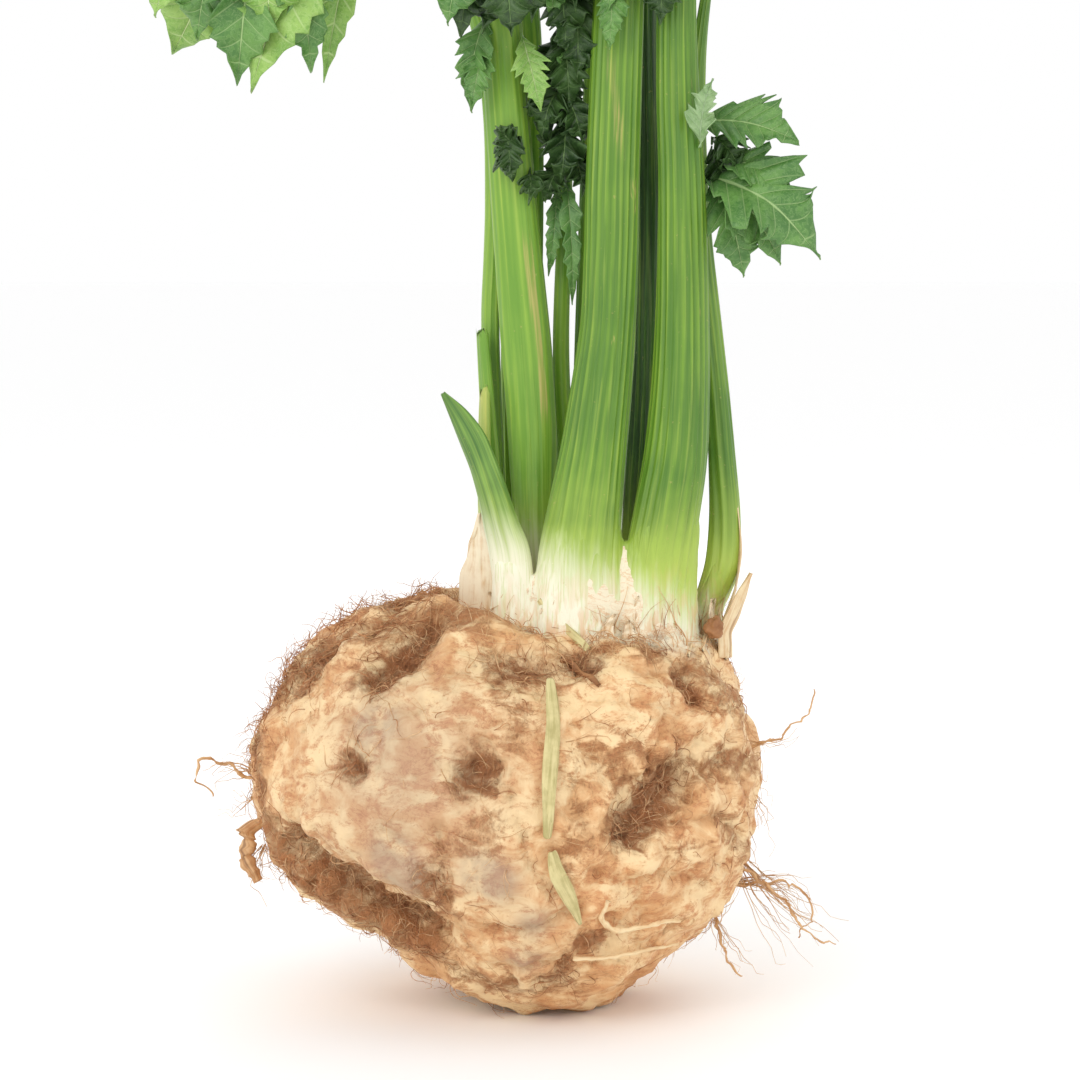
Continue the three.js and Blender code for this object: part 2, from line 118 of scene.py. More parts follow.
def modify(piece, kind, **settings):
    """Adds a modifier with these settings and applies it."""
    select_only(piece)
    modifier = piece.modifiers.new(kind.lower(), kind)
    for name, value in settings.items():
        setattr(modifier, name, value)
    bpy.ops.object.modifier_apply(modifier=modifier.name)


def in_edit_mode(piece, *steps):
    """Selects all of a piece's mesh in edit mode and takes each step there."""
    select_only(piece)
    bpy.ops.object.mode_set(mode="EDIT")
    bpy.ops.mesh.select_all(action="SELECT")
    for step in steps:
        step()
    bpy.ops.object.mode_set(mode="OBJECT")


def points(piece):
    places = np.empty(len(piece.data.vertices) * 3)
    piece.data.vertices.foreach_get("co", places)
    return places.reshape(-1, 3) / MM


def move_points(piece, places):
    piece.data.vertices.foreach_set("co", (np.asarray(places) * MM).ravel())
    piece.data.update()


def outward(piece):
    """The way that the surface looks at each point."""
    ways = np.empty(len(piece.data.vertices) * 3)
    piece.data.vertex_normals.foreach_get("vector", ways)
    return ways.reshape(-1, 3)


def keep(piece, name, values):
    """Stores one number for each point, for a material to read."""
    piece.data.attributes.new(name, "FLOAT", "POINT").data.foreach_set("value", np.clip(values, 0, 1))


def cad_copy(node, name):
    """A copy of a node's mesh with its loose triangles joined up."""
    piece = bpy.data.objects.new(name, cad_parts[node].data.copy())
    bpy.context.collection.objects.link(piece)
    piece.data.materials.clear()
    in_edit_mode(piece, lambda: bpy.ops.mesh.remove_doubles(threshold=0.01 * MM))
    return piece


def hand_in(piece, material, slot, *nodes):
    """Finishes a piece: its material, its body and the nodes it stands for. The slot is not used."""
    piece.data.materials.clear()
    piece.data.materials.append(material)
    select_only(piece)
    bpy.ops.object.shade_smooth()
    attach(piece, "root")
    if nodes:
        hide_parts(*nodes)
    print(piece.name, "has", len(piece.data.polygons), "faces")


# %% Noise, soft steps and curves
NOISE_REACH = 1.6  # brings the noise to about -1 to 1
SEED_STEP = 17.3  # how far apart the seeds are in the noise


def grain(places, size, octaves=3, stretch=(1, 1, 1), seed=0):
    """Smooth noise, about -1 to 1, with patches of about `size` mm at places in mm."""
    scaled = places / (size * np.array(stretch)) + seed * SEED_STEP
    return NOISE_REACH * np.array([noise.fractal(place, 1.0, 2.0, octaves) for place in scaled.tolist()])


def soft_step(low, high, values):
    """0 at `low`, 1 at `high`, and smooth between."""
    share = np.clip((values - low) / (high - low), 0, 1)
    return share * share * (3 - 2 * share)


def bell(distance, reach):
    """1 at no distance, a third at the reach, and nothing further out."""
    return np.exp(-(distance / reach) ** 2)


def straight(ways):
    """A list of ways, each made 1 long."""
    return ways / np.linalg.norm(ways, axis=1, keepdims=True)


def spline(stops, count, closed=False):
    """`count` places, evenly spaced in step number, on a smooth curve through the stops."""
    stops = np.asarray(stops, float)
    last = len(stops) if closed else len(stops) - 1
    steps = np.linspace(0, last, count, endpoint=not closed)
    whole = np.minimum(steps.astype(int), last - 1)
    part = (steps - whole).reshape((-1,) + (1,) * (stops.ndim - 1))
    near = [np.mod(whole + k, len(stops)) if closed else np.clip(whole + k, 0, last) for k in (-1, 0, 1, 2)]
    a, b, c, d = (stops[n] for n in near)
    slope = (c - a) / 2
    bend = a - 2.5 * b + 2 * c - d / 2
    twist = 1.5 * (b - c) + (d - a) / 2
    return b + part * (slope + part * (bend + part * twist))


# %% [markdown]
# ## Helpers for materials
#
# A material is a little sum: so much of this colour where the surface is hollow, so much of that one where
# it is high up. `Wire` wraps the output of a shader node, so that such sums can be written as they are said,
# and `Finish` holds the node tree that they are built in.

# %% Shader sums
class Wire:
    """The output of a shader node, used in sums."""

    def __init__(self, finish, socket):
        self.finish = finish
        self.socket = socket

    def math(self, operation, *values):
        return self.finish.node("ShaderNodeMath", {"operation": operation}, dict(enumerate(values)))

    def __add__(self, other):
        return self.math("ADD", self, other)

    def __sub__(self, other):
        return self.math("SUBTRACT", self, other)

    def __rsub__(self, other):
        return self.math("SUBTRACT", other, self)

    def __mul__(self, other):
        return self.math("MULTIPLY", self, other)

    def size(self):
        return self.math("ABSOLUTE", self)

    def most(self, other):
        return self.math("MAXIMUM", self, other)

    def to_and_fro(self, reach):
        """Rises to `reach` and falls back to 0, over and over."""
        return self.math("PINGPONG", self, reach)

    def near(self, value, reach):
        """1 at a value, and 0 further than `reach` from it."""
        return 1 - (self - value).size().step(reach * 0.3, reach)

    def step(self, low, high):
        """0 below `low`, 1 above `high`, and a soft step between."""
        return self.finish.node("ShaderNodeMapRange", {"interpolation_type": "SMOOTHSTEP"},
                                {0: self, 1: low, 2: high, 3: 0, 4: 1})

    __radd__ = __add__
    __rmul__ = __mul__


class Finish:
    """A material under construction."""

    def __init__(self, name):
        self.material = bpy.data.materials.new(name)
        self.material.use_nodes = True
        self.tree = self.material.node_tree
        self.shader = self.tree.nodes["Principled BSDF"]

    def node(self, kind, settings=None, sockets=None, output=0):
        """Adds a node: its settings first, then the value or link of each socket."""
        made = self.tree.nodes.new(kind)
        for name, value in (settings or {}).items():
            setattr(made, name, value)
        self.fill(made, sockets or {})
        return Wire(self, made.outputs[output])

    def fill(self, made, sockets):
        for key, value in sockets.items():
            if isinstance(value, Wire):
                self.tree.links.new(value.socket, made.inputs[key])
            else:
                made.inputs[key].default_value = value

    def mix(self, share, first, second):
        """`first` where the share is 0 and `second` where it is 1. Both are colours."""
        return self.node("ShaderNodeMix", {"data_type": "RGBA"}, {0: share, 6: first, 7: second}, output=2)

    def place(self):
        return self.node("ShaderNodeTexCoord", output="Object")

    def map(self):
        return self.node("ShaderNodeTexCoord", output="UV")

    def part(self, place, axis):
        return self.node("ShaderNodeSeparateXYZ", None, {0: place}, output=axis)

    def kept(self, name):
        """The numbers that `keep` stored."""
        return self.node("ShaderNodeAttribute", {"attribute_name": name}, output="Fac")

    def noise(self, place, size, detail=3.0, rough=0.55, warp=0.0, stretch=(1, 1, 1)):
        """Noise from 0 to 1 with patches of about `size` mm, longer where `stretch` is over 1."""
        scale = [1 / (size * MM * share) for share in stretch]
        scaled = self.node("ShaderNodeMapping", {"vector_type": "POINT"}, {"Vector": place, "Scale": scale})
        return self.node("ShaderNodeTexNoise", None, {
            "Vector": scaled, "Scale": 1.0, "Detail": detail, "Roughness": rough, "Distortion": warp})

    def bump(self, height, depth, under=None):
        """A normal for a height from 0 to 1 that stands for `depth` mm."""
        sockets = {"Height": height, "Strength": 1.0, "Distance": depth * MM}
        if under:
            sockets["Normal"] = under
        return self.node("ShaderNodeBump", None, sockets)

    def done(self, **sockets):
        """Links or sets the shader's sockets, named with _ for a space."""
        self.fill(self.shader, {name.replace("_", " "): value for name, value in sockets.items()})
        return self.material


def paint(code):
    """A colour as written in a paint chart, such as D8B68D, in the linear numbers that shaders use."""
    shares = [int(code[k:k + 2], 16) / 255 for k in (0, 2, 4)]
    return [s / 12.92 if s <= 0.04045 else ((s + 0.055) / 1.055) ** 2.4 for s in shares] + [1.0]


# %% [markdown]
# ## Rings and tubes
#
# Every stalk, stub, strip and rootlet in the frame is a row of rings. The rings are read off the mesh, and a
# fine grid is rolled up round them. So its outline stays where it was, while ribs and creases can be pressed
# into the many new points. The root needs the rings too: its crown swells round the foot of each stalk.

# %% Rings of a swept piece
def rings_of(node, sides):
    """A swept node's rings in mm, from the end nearest the root, each starting from its groove."""
    piece = cad_copy(node, "rings")
    places = points(piece)
    near = [set() for _ in places]
    for edge in piece.data.edges:
        a, b = edge.vertices
        near[a].add(b)
        near[b].add(a)
    bpy.data.objects.remove(piece)
    caps = [k for k, ring in enumerate(near) if len(ring) == sides]
    caps.sort(key=lambda k: np.linalg.norm(places[k] - ROOT_MIDDLE))
    for cap in caps:
        levels, seen = [{cap}], {cap}
        while levels[-1]:
            levels.append(set().union(*(near[k] for k in levels[-1])) - seen)
            seen |= levels[-1]
        walls = levels[1:-2]
        if len(levels[-2]) == 1 and all(len(ring) == sides for ring in walls):
            return in_step(places, near, walls, sides)
    raise ValueError("no rings in " + node)


def in_step(places, near, walls, sides):
    """Puts the points of each ring in the same order as those of the ring before it."""
    middle = places[sorted(walls[0])].mean(axis=0)
    first = min(walls[0], key=lambda k: np.linalg.norm(places[k] - middle))
    ring = [first]
    while len(ring) < sides:
        ring.append(next(k for k in sorted(near[ring[-1]] & walls[0]) if k not in ring))
    along = places[sorted(walls[1])].mean(axis=0) - middle
    turn = np.cross(places[ring[0]] - middle, places[ring[sides // 4]] - middle) @ along
    if turn < 0:
        ring = ring[:1] + ring[:0:-1]
    rings = [ring]
    for wall in walls[1:]:
        step = places[sorted(wall)].mean(axis=0) - places[ring].mean(axis=0)
        free = set(wall)
        ring = [min(free & near[k], key=lambda n: np.linalg.norm(places[n] - places[k] - step)) for k in ring]
        rings.append(ring)
    return places[np.array(rings)]


ROOT_MIDDLE = np.array([-10.0, 0.0, 50.0])
STALK_SIDES = 10
DRY_SIDES = 8
ROOTLET_SIDES = 6
print("rings of the front stalk:", rings_of("stalk_front", STALK_SIDES).shape)

# %% Roll a grid up round a set of rings
def roll_up(name, rings, around, along, shape=None):
    """A closed tube through rings in mm. `shape` may move its points: it is given their places, the way out
    from the middle line, and the shares round and along, and gives back the places and a mark from 0 to 1
    for each, which is kept as "mark". The UV map is in metres, round and along."""
    bpy.ops.mesh.primitive_grid_add(x_subdivisions=around, y_subdivisions=along, size=1)
    piece = bpy.context.object
    piece.name = name
    unit = points(piece) * MM + 0.5
    column = np.rint(unit[:, 0] * around).astype(int) % around
    row = np.rint(unit[:, 1] * along).astype(int)
    skin = spline(np.swapaxes(rings, 0, 1), around, closed=True)
    skin = spline(np.swapaxes(skin, 0, 1), along + 1)
    middle = skin.mean(axis=1, keepdims=True)
    out = skin - middle
    width = np.linalg.norm(out, axis=2).mean()
    length = np.linalg.norm(np.diff(middle[:, 0], axis=0), axis=1).sum()
    if shape is not None:
        share_round = np.broadcast_to(np.arange(around) / around, skin.shape[:2])
        share_along = np.broadcast_to(np.linspace(0, 1, along + 1)[:, None], skin.shape[:2])
        skin, mark = shape(skin, out / np.maximum(np.linalg.norm(out, axis=2, keepdims=True), 1e-6),
                           share_round, share_along)
        keep(piece, "mark", mark[row, column])
    move_points(piece, skin[row, column])
    uv = np.empty(len(piece.data.loops) * 2)
    piece.data.uv_layers[0].data.foreach_get("uv", uv)
    uv = uv.reshape(-1, 2) * (2 * math.pi * width * MM, length * MM)
    piece.data.uv_layers[0].data.foreach_set("uv", uv.ravel())
    in_edit_mode(piece, lambda: bpy.ops.mesh.remove_doubles(threshold=0.001 * MM),
                 lambda: bpy.ops.mesh.fill_holes(sides=0),
                 lambda: bpy.ops.mesh.normals_make_consistent(inside=False))
    return piece


def rooted(rings, depth=9, flare=1.12):
    """The rings with two more below the first, wider and lower, so that the foot is inside the root."""
    foot = rings[0]
    middle = foot.mean(axis=0)
    lower = [middle + (foot - middle) * (1 + (flare - 1) * k) - (0, 0, depth * k / 2) for k in (2, 1)]
    return np.concatenate([np.array(lower), rings])


# %% [markdown]
# ## The swollen root
#
# The skin of a celeriac is cream and tan, folded into lobes, with hollows where rootlets grew: there it is
# brown and ragged. The frame holds the big shapes as a closed mesh of a few thousand triangles. A swelling is
# added round the foot of each stalk, all of it is remeshed into small even faces, which welds and rounds it,
# and then its points are moved in and out, as with sculpting brushes: lobes, creases, hollows, wrinkles and
# pits, each with a noise of its own size. How hollow, brown, white and grey each point is gets stored, so
# that the material can follow the shape.

# %% An even, rounded mesh with swollen feet
SWELLING = [(-10, 1.5), (-2, 1.34), (4, 1.2), (10, 1.11), (16, 1.05), (22, 1.0), (27, 0.9)]  # height, share
FULL_WIDTH = 16  # a stalk that is less wide has a lower swelling
FACE_SIZE = 0.86


def swollen_foot(node):
    """The fleshy foot of a stalk: it is wide below and ends inside the stalk."""
    rings = rings_of(node, STALK_SIDES)
    middles = rings.mean(axis=1)
    heights = middles[:, 2] - middles[0, 2]
    around = rings[0] - middles[0]
    width = 2 * np.linalg.norm(around, axis=1).max()
    made = []
    for height, share in SWELLING:
        height = height * min(1, width / FULL_WIDTH) if height > 0 else height
        at = [np.interp(height, heights, middles[:, k]) for k in (0, 1)]
        made.append(np.array([*at, middles[0, 2] + height]) + around * share)
    return roll_up(node + "_foot", np.array(made), 20, 10)


def weld(pieces, iterations):
    """Joins pieces that run into each other, and melts them into one rounded skin of small even faces."""
    select_only(pieces[0])
    for piece in pieces:
        piece.select_set(True)
    bpy.ops.object.join()
    modify(pieces[0], "REMESH", mode="VOXEL", voxel_size=FACE_SIZE * MM)
    modify(pieces[0], "SMOOTH", factor=0.6, iterations=iterations)
    return pieces[0]


root = cad_copy("swollen_root", "root_body")
modify(root, "SUBSURF", levels=1, render_levels=1)
rooted_nodes = [node for node in sorted(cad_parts) if node.startswith(("stalk_", "stub_"))]
feet = weld([swollen_foot(node) for node in rooted_nodes], 14)
feet.name = "stalk_feet"
crown = feet.copy()
crown.data = feet.data.copy()
bpy.context.collection.objects.link(crown)
root = weld([root, crown], 12)
feet_places = points(feet)
move_points(feet, feet_places + outward(feet) * (0.25 + 0.3 * grain(feet_places, 4, 3, (1, 1, 4)))[:, None])
print("the root has", len(root.data.vertices), "points, and the feet", len(feet.data.vertices))

# %% Where things are on the root
FRONT = -1
BACK = 1
CROWN_MIDDLE = np.array([13.0, 0.0])
CROWN_REACH = np.array([34, 28])


def skin_tree(piece):
    """What finds the nearest place on a piece's surface."""
    corners = [corner.co for corner in piece.data.vertices]
    return BVHTree.FromPolygons(corners, [face.vertices for face in piece.data.polygons])


smooth_skin = skin_tree(root)


def on_skin(x, z, side=FRONT, tree=None):
    """The place on the root's front or back, in mm, that somebody in front of it or behind it sees at this x
    and z when these are read off on the upright plane through its middle."""
    eye = VIEW_CENTRE + towards_camera * VIEW_DISTANCE
    eye.y *= -side
    hit = (tree or smooth_skin).ray_cast(eye, Vector((x, 0, z)) * MM - eye)[0]
    if hit is None:
        hit = (tree or smooth_skin).find_nearest(Vector((x, side * 5, z)) * MM)[0]
    return np.array(hit) / MM


def distance_to(places, route, side=FRONT):
    """How far places are from a route over the root, given by its x and z."""
    stops = [on_skin(x, z, side) for x, z in route]
    if len(stops) == 1:
        return np.linalg.norm(places - stops[0], axis=1)
    nearest = np.full(len(places), np.inf)
    for start, end in zip(stops, stops[1:]):
        run = end - start
        share = np.clip((places - start) @ run / (run @ run), 0, 1)
        nearest = np.minimum(nearest, np.linalg.norm(places - start - share[:, None] * run, axis=1))
    return nearest


# %% Hollows, folds and patches of each side, with their routes, reaches and depths in mm
HOLLOWS = {
    FRONT: [
        ([(-41, 82), (-35, 88), (-30, 95)], 5.5, 2.4),
        ([(-17, 57.5)], 5.2, 3.4),
        ([(-48, 59)], 3.0, 2.2),
        ([(-8, 82), (-4, 84)], 4.5, 1.8),
        ([(34, 80), (38, 77)], 4.0, 2.0),
        ([(21, 42), (27, 50), (32, 57)], 5.6, 3.3),
        ([(-62, 78), (-55, 86)], 5.0, 1.4),
        ([(-72, 66), (-73, 54)], 3.5, 1.0),
        ([(9, 13), (14, 14)], 3.5, 1.6),
        ([(3, 3), (6, 8)], 3.0, 1.2),
        ([(-64, 41), (-57, 36.5), (-49, 30.5), (-40, 23), (-31, 18)], 6.0, 6.5),
        ([(6, 88), (12, 84)], 3.5, 1.4),
    ],
    BACK: [
        ([(-2, 66), (4, 70)], 6.0, 2.8),
        ([(-58, 42), (-52, 36)], 5.5, 3.0),
        ([(34, 70), (40, 74)], 5.0, 2.4),
        ([(-28, 84), (-20, 88)], 5.0, 2.0),
        ([(10, 30), (18, 36)], 4.5, 2.2),
        ([(-30, 24), (-40, 30)], 4.5, 2.2),
        ([(-68, 60), (-66, 68)], 4.0, 1.4),
        ([(44, 40), (48, 46)], 4.0, 1.8),
        ([(-36, 62)], 4.0, 2.6),
        ([(20, 54)], 3.6, 2.2),
    ],
}
FOLDS = {  # creases, and lips where the depth is below 0
    FRONT: [
        ([(-64, 50), (-56, 45), (-47, 39), (-39, 32), (-30, 27)], 4.5, -3.0),
        ([(-62, 33), (-52, 27), (-42, 20), (-33, 14)], 4.0, -1.8),
        ([(-27, 42), (-26, 32), (-25, 24)], 1.8, 2.2),
        ([(12, 84), (24, 82), (36, 84)], 1.3, 0.9),
        ([(14, 76), (26, 74), (38, 75), (47, 72)], 1.5, 1.2),
        ([(6, 70), (16, 69), (24, 66)], 1.4, 0.9),
        ([(30, 68), (40, 66), (50, 68)], 1.5, 1.0),
        ([(-24, 84), (-12, 80), (-2, 78)], 1.5, 0.8),
        ([(12, 32), (20, 28), (30, 31), (42, 29)], 1.8, 1.9),
        ([(4, 58), (8, 48), (12, 40)], 1.8, 1.2),
        ([(-6, 44), (-4, 34), (2, 26)], 1.8, 1.5),
        ([(34, 44), (44, 46), (50, 42)], 1.6, 1.6),
        ([(34, 58), (42, 59), (50, 60)], 4.5, 1.2),
        ([(-16, 16), (-4, 17), (8, 22)], 1.8, 1.5),
        ([(16, 20), (24, 14), (34, 18)], 1.6, 1.4),
    ],
}
BROWN_AREAS = {  # the last number is a share, not a depth
    FRONT: [
        ([(-66, 78), (-54, 88), (-38, 95), (-20, 98), (-2, 95)], 9, 0.66),
        ([(-70, 72), (-72, 56), (-71, 44)], 6, 0.8),
        ([(-67, 37), (-57, 31), (-45, 22), (-31, 13)], 8, 1.0),
        ([(-36, 100), (-26, 103), (-18, 100)], 9, 0.75),
        ([(-10, 78), (-6, 70), (-10, 62)], 6, 0.45),
        ([(10, 62), (22, 60), (20, 52)], 7, 0.5),
        ([(8, 52), (8, 40), (4, 34)], 5, 0.5),
        ([(-12, 46), (-18, 38)], 6, 0.5),
        ([(30, 36), (40, 38)], 4, 0.4),
        ([(-24, 8), (-8, 2), (6, 2)], 6, 0.6),
        ([(20, 43), (27, 50), (33, 57)], 7, 0.9),
        ([(34, 57), (44, 60), (54, 60)], 6, 0.6),
        ([(-42, 81), (-34, 89), (-28, 97)], 8, 0.85),
        ([(-14, 86), (0, 84), (12, 86)], 6, 0.7),
        ([(24, 88), (40, 82), (48, 74)], 7, 0.6),
        ([(-17, 57.5)], 7, 0.9),
        ([(-48, 59)], 4.5, 0.9),
        ([(-30, 30), (-26, 22)], 6, 0.65),
        ([(44, 46), (50, 38)], 6, 0.5),
    ],
    BACK: [
        ([(-44, 98), (-14, 104), (20, 98), (46, 86)], 9, 0.7),
        ([(-74, 60), (-70, 36), (-50, 20)], 8, 0.7),
        ([(-10, 64), (6, 70), (16, 66)], 9, 0.8),
        ([(-62, 44), (-50, 34)], 9, 0.9),
        ([(30, 68), (44, 76)], 8, 0.8),
        ([(-34, 82), (-18, 88)], 8, 0.8),
        ([(8, 28), (20, 38)], 8, 0.75),
        ([(-40, 30), (-20, 10), (10, 4)], 8, 0.75),
        ([(48, 36), (50, 50)], 7, 0.7),
        ([(-36, 62)], 6, 0.9),
        ([(20, 54)], 6, 0.8),
    ],
}
GREY_PATCHES = [(-39, 36), (-34, 31), (-17, 31), (-11, 29), (-3, 19), (-5, 9), (-43, 70)]
LOBE_MIDDLE = [(-38, 58)]  # the smooth lobe on the left of the front

# %% Sculpt the root
LUMP_SIZE, LUMP_HEIGHT = 22, 1.5
KNOLL_SIZE, KNOLL_HEIGHT = 8, 1.1
CRACKED_FIELD = 15  # about how wide the fields between cracks are
CRACK_DEPTH = 1.2


def off_crown(places, highest, reach):
    """1 on the skin and 0 on the crown, which starts at a height but ends at the shoulder on the left."""
    return np.maximum(soft_step(highest, highest - reach, places[:, 2]), soft_step(-18, -25, places[:, 0]))


def sculpt_root(piece):
    """Moves the root's points in and out, and returns how hollow each one is."""
    places = points(piece)
    rough = 1 - 0.75 * bell(distance_to(places, [(-36, 60)]), 24)
    rough *= off_crown(places, 103, 10) * 0.85 + 0.15
    ragged = 1 + 0.4 * grain(places, 5, 3)
    lift = LUMP_HEIGHT * rough * grain(places, LUMP_SIZE, 2)
    lift = lift + KNOLL_HEIGHT * rough * grain(places, KNOLL_SIZE, 2, seed=1)

    warp = np.stack([grain(places, 14, 1, seed=seed) for seed in (2, 3, 4)], axis=1)
    fields = ((places + 3 * warp) / CRACKED_FIELD).tolist()
    borders = np.array([noise.voronoi(place)[0] for place in fields])
    cracked = soft_step(-0.5, 0.6, grain(places, 20, seed=8))
    crack = bell(borders[:, 1] - borders[:, 0], 0.15) * rough * cracked
    lift -= CRACK_DEPTH * crack

    hollow = np.zeros(len(places))
    for marks, share in ((HOLLOWS, 1), (FOLDS, 0.5)):
        for side, rows in marks.items():
            for route, reach, depth in rows:
                near = bell(distance_to(places, route, side) * ragged, reach)
                lift -= depth * near
                if depth > 0:
                    hollow = np.maximum(hollow, share * near)
    move_points(piece, places + outward(piece) * lift[:, None])
    return np.maximum(hollow, 0.4 * crack)


PITS = 260
PIT_REACHES = (0.7, 1.7)
PIT_DEPTH = 0.55  # for a reach of 1


def roughen_root(piece, hollow):
    """Fine relief: wrinkles that run round the root, pits, and ragged flesh in the hollows."""
    places = points(piece)
    wrinkle = 1 - np.abs(grain(places, 5.5, 3, stretch=(2.6, 2.6, 0.8), seed=5))
    lift = 0.3 * (0.35 + soft_step(66, 88, places[:, 2])) * wrinkle ** 3
    lift += 0.12 * grain(places, 2.0, 2, seed=6)
    lift += 0.9 * hollow * grain(places, 1.9, 3, stretch=(1, 1, 1.6), seed=7)
    rng = np.random.default_rng(4)
    for centre in places[rng.integers(len(places), size=PITS)]:
        reach = rng.uniform(*PIT_REACHES)
        lift -= PIT_DEPTH * reach * bell(np.linalg.norm(places - centre, axis=1), reach)
    places = places + outward(piece) * (lift * (0.25 + 0.75 * off_crown(places, 101, 6)))[:, None]
    places[:, 2] = np.maximum(places[:, 2], 0)
    move_points(piece, places)


hollow = sculpt_root(root)
roughen_root(root, hollow)
root_places = points(root)
root_skin = skin_tree(root)
print("hollow share:", round(float((hollow > 0.5).mean()), 3))

# %% Store how brown, grey and white the root is
brown = np.zeros(len(root_places))
for side, rows in BROWN_AREAS.items():
    for route, reach, share in rows:
        brown = np.maximum(brown, share * bell(distance_to(root_places, route, side), reach))
grey = sum(bell(distance_to(root_places, [spot]), 5) for spot in GREY_PATCHES)
grey = grey + 0.75 * bell(distance_to(root_places, LOBE_MIDDLE), 26)
from_crown = np.hypot(*((root_places[:, :2] - CROWN_MIDDLE) / CROWN_REACH).T)
skin_top = 95.5 - 5.5 * soft_step(-4, 24, root_places[:, 0]) + 2.2 * grain(root_places, 6, 3)
keep(root, "hollow", hollow)
keep(root, "brown", brown)
keep(root, "grey", grey)
keep(root, "crown", soft_step(-1.5, 2, root_places[:, 2] - skin_top) * soft_step(1.12, 0.95, from_crown))
print("brown share:", round(float((brown > 0.5).mean()), 3))

# %% [markdown]
# ### Skin
#
# Three noises of different sizes mottle the skin between pale cream and orange tan. Brown follows the stored
# areas: a noise makes their edges ragged, and another, drawn out into strands, makes them fibrous. The
# bottoms of the hollows are darkest. Fine scratches and specks are scattered elsewhere. At the crown the skin
# gives way to the white flesh that the stalks grow from.

# %% Skin material
CREAM = paint("F2D3A2")
TAN = paint("DBA873")
ORANGE = paint("CE905E")
BROWN = paint("B77646")
DARK_BROWN = paint("A66238")
GREY = paint("9A8677")
WHITE_FLESH = paint("EDE2C6")


def root_finish():
    finish = Finish("root_skin")
    place = finish.place()
    hollow = finish.kept("hollow")
    broad = finish.noise(place, 17, 4, 0.6, 0.6)
    middle = finish.noise(place, 5, 5, 0.62, 0.8, stretch=(1.4, 1.4, 0.9))
    fine = finish.noise(place, 1.1, 4, 0.6)
    strands = finish.noise(place, 1.3, 5, 0.7, 3.0, stretch=(1, 1, 1.8))
    lines = finish.noise(place, 6, 6, 0.65, 1.6, stretch=(1.6, 1.6, 0.7))
    colour = finish.mix((broad * 0.6 + middle * 0.55).step(0.47, 0.66), CREAM, TAN)
    colour = finish.mix((middle * 0.7 + fine * 0.35).step(0.52, 0.66) * 0.85, colour, ORANGE)
    colour = finish.mix(lines.near(0.5, 0.022) * middle.step(0.4, 0.56) * 0.65, colour, BROWN)
    speck = fine.step(0.60, 0.72) * finish.noise(place, 7, 2).step(0.42, 0.6)
    colour = finish.mix(speck * 0.65, colour, BROWN)
    colour = finish.mix(finish.kept("grey") * broad.step(0.2, 0.5) * 0.62, colour, GREY)
    stained = (finish.kept("brown") * 0.9 + (middle - 0.5) * 1.5 + (strands - 0.5) * 0.9).step(0.26, 0.92)
    fibre = finish.mix(strands.step(0.34, 0.66), BROWN, ORANGE)
    colour = finish.mix(stained * 0.92, colour, fibre)
    deep = (hollow + (strands - 0.5) * 1.1 + (middle - 0.5) * 0.7).step(0.42, 1.0)
    colour = finish.mix(deep * 0.65, colour, finish.mix(strands.step(0.36, 0.66), DARK_BROWN, BROWN))
    flesh = finish.mix(lines.near(0.48, 0.03) * 0.5 + speck * 0.3, WHITE_FLESH, TAN)
    soiled = (middle * 0.8 + strands * 0.3).step(0.6, 0.8)
    colour = finish.mix(finish.kept("crown") * (1 - soiled * 0.6), colour, flesh)
    normal = finish.bump(fine * 0.5 + middle * 0.6, 0.5)
    normal = finish.bump(strands * (stained * 0.6 + hollow * 0.6 + 0.08), 0.9, normal)
    return finish.done(Base_Color=colour, Roughness=stained * 0.22 + 0.6, Normal=normal)


hand_in(root, root_finish(), "root_skin", "swollen_root")

# %% [markdown]
# ## Stalks
#
# A celery stalk is a gutter: ribbed along its rounded outside and shallowly grooved inside, white at its foot
# and green above. A grid is rolled up round the frame's rings and drawn through them on smooth curves, the
# ribs are pressed into it, and its foot is carried on down into the crown, so that it grows out of the root.
#
# The colour goes by height: white where the soil covered it, then yellow green, then green. Fine lines run
# along the stalk, because the UV map is measured in metres round and along it, and a noise stretched along it
# follows the ribs. Old scratches have healed pale brown.

# %% Stalk material
FOOT_WHITE = paint("EEEBD3")
YELLOW_GREEN = paint("ADC452")
STALK_GREEN = paint("789F2E")
DEEP_GREEN = paint("4C781E")
SCAR = paint("BFAE68")


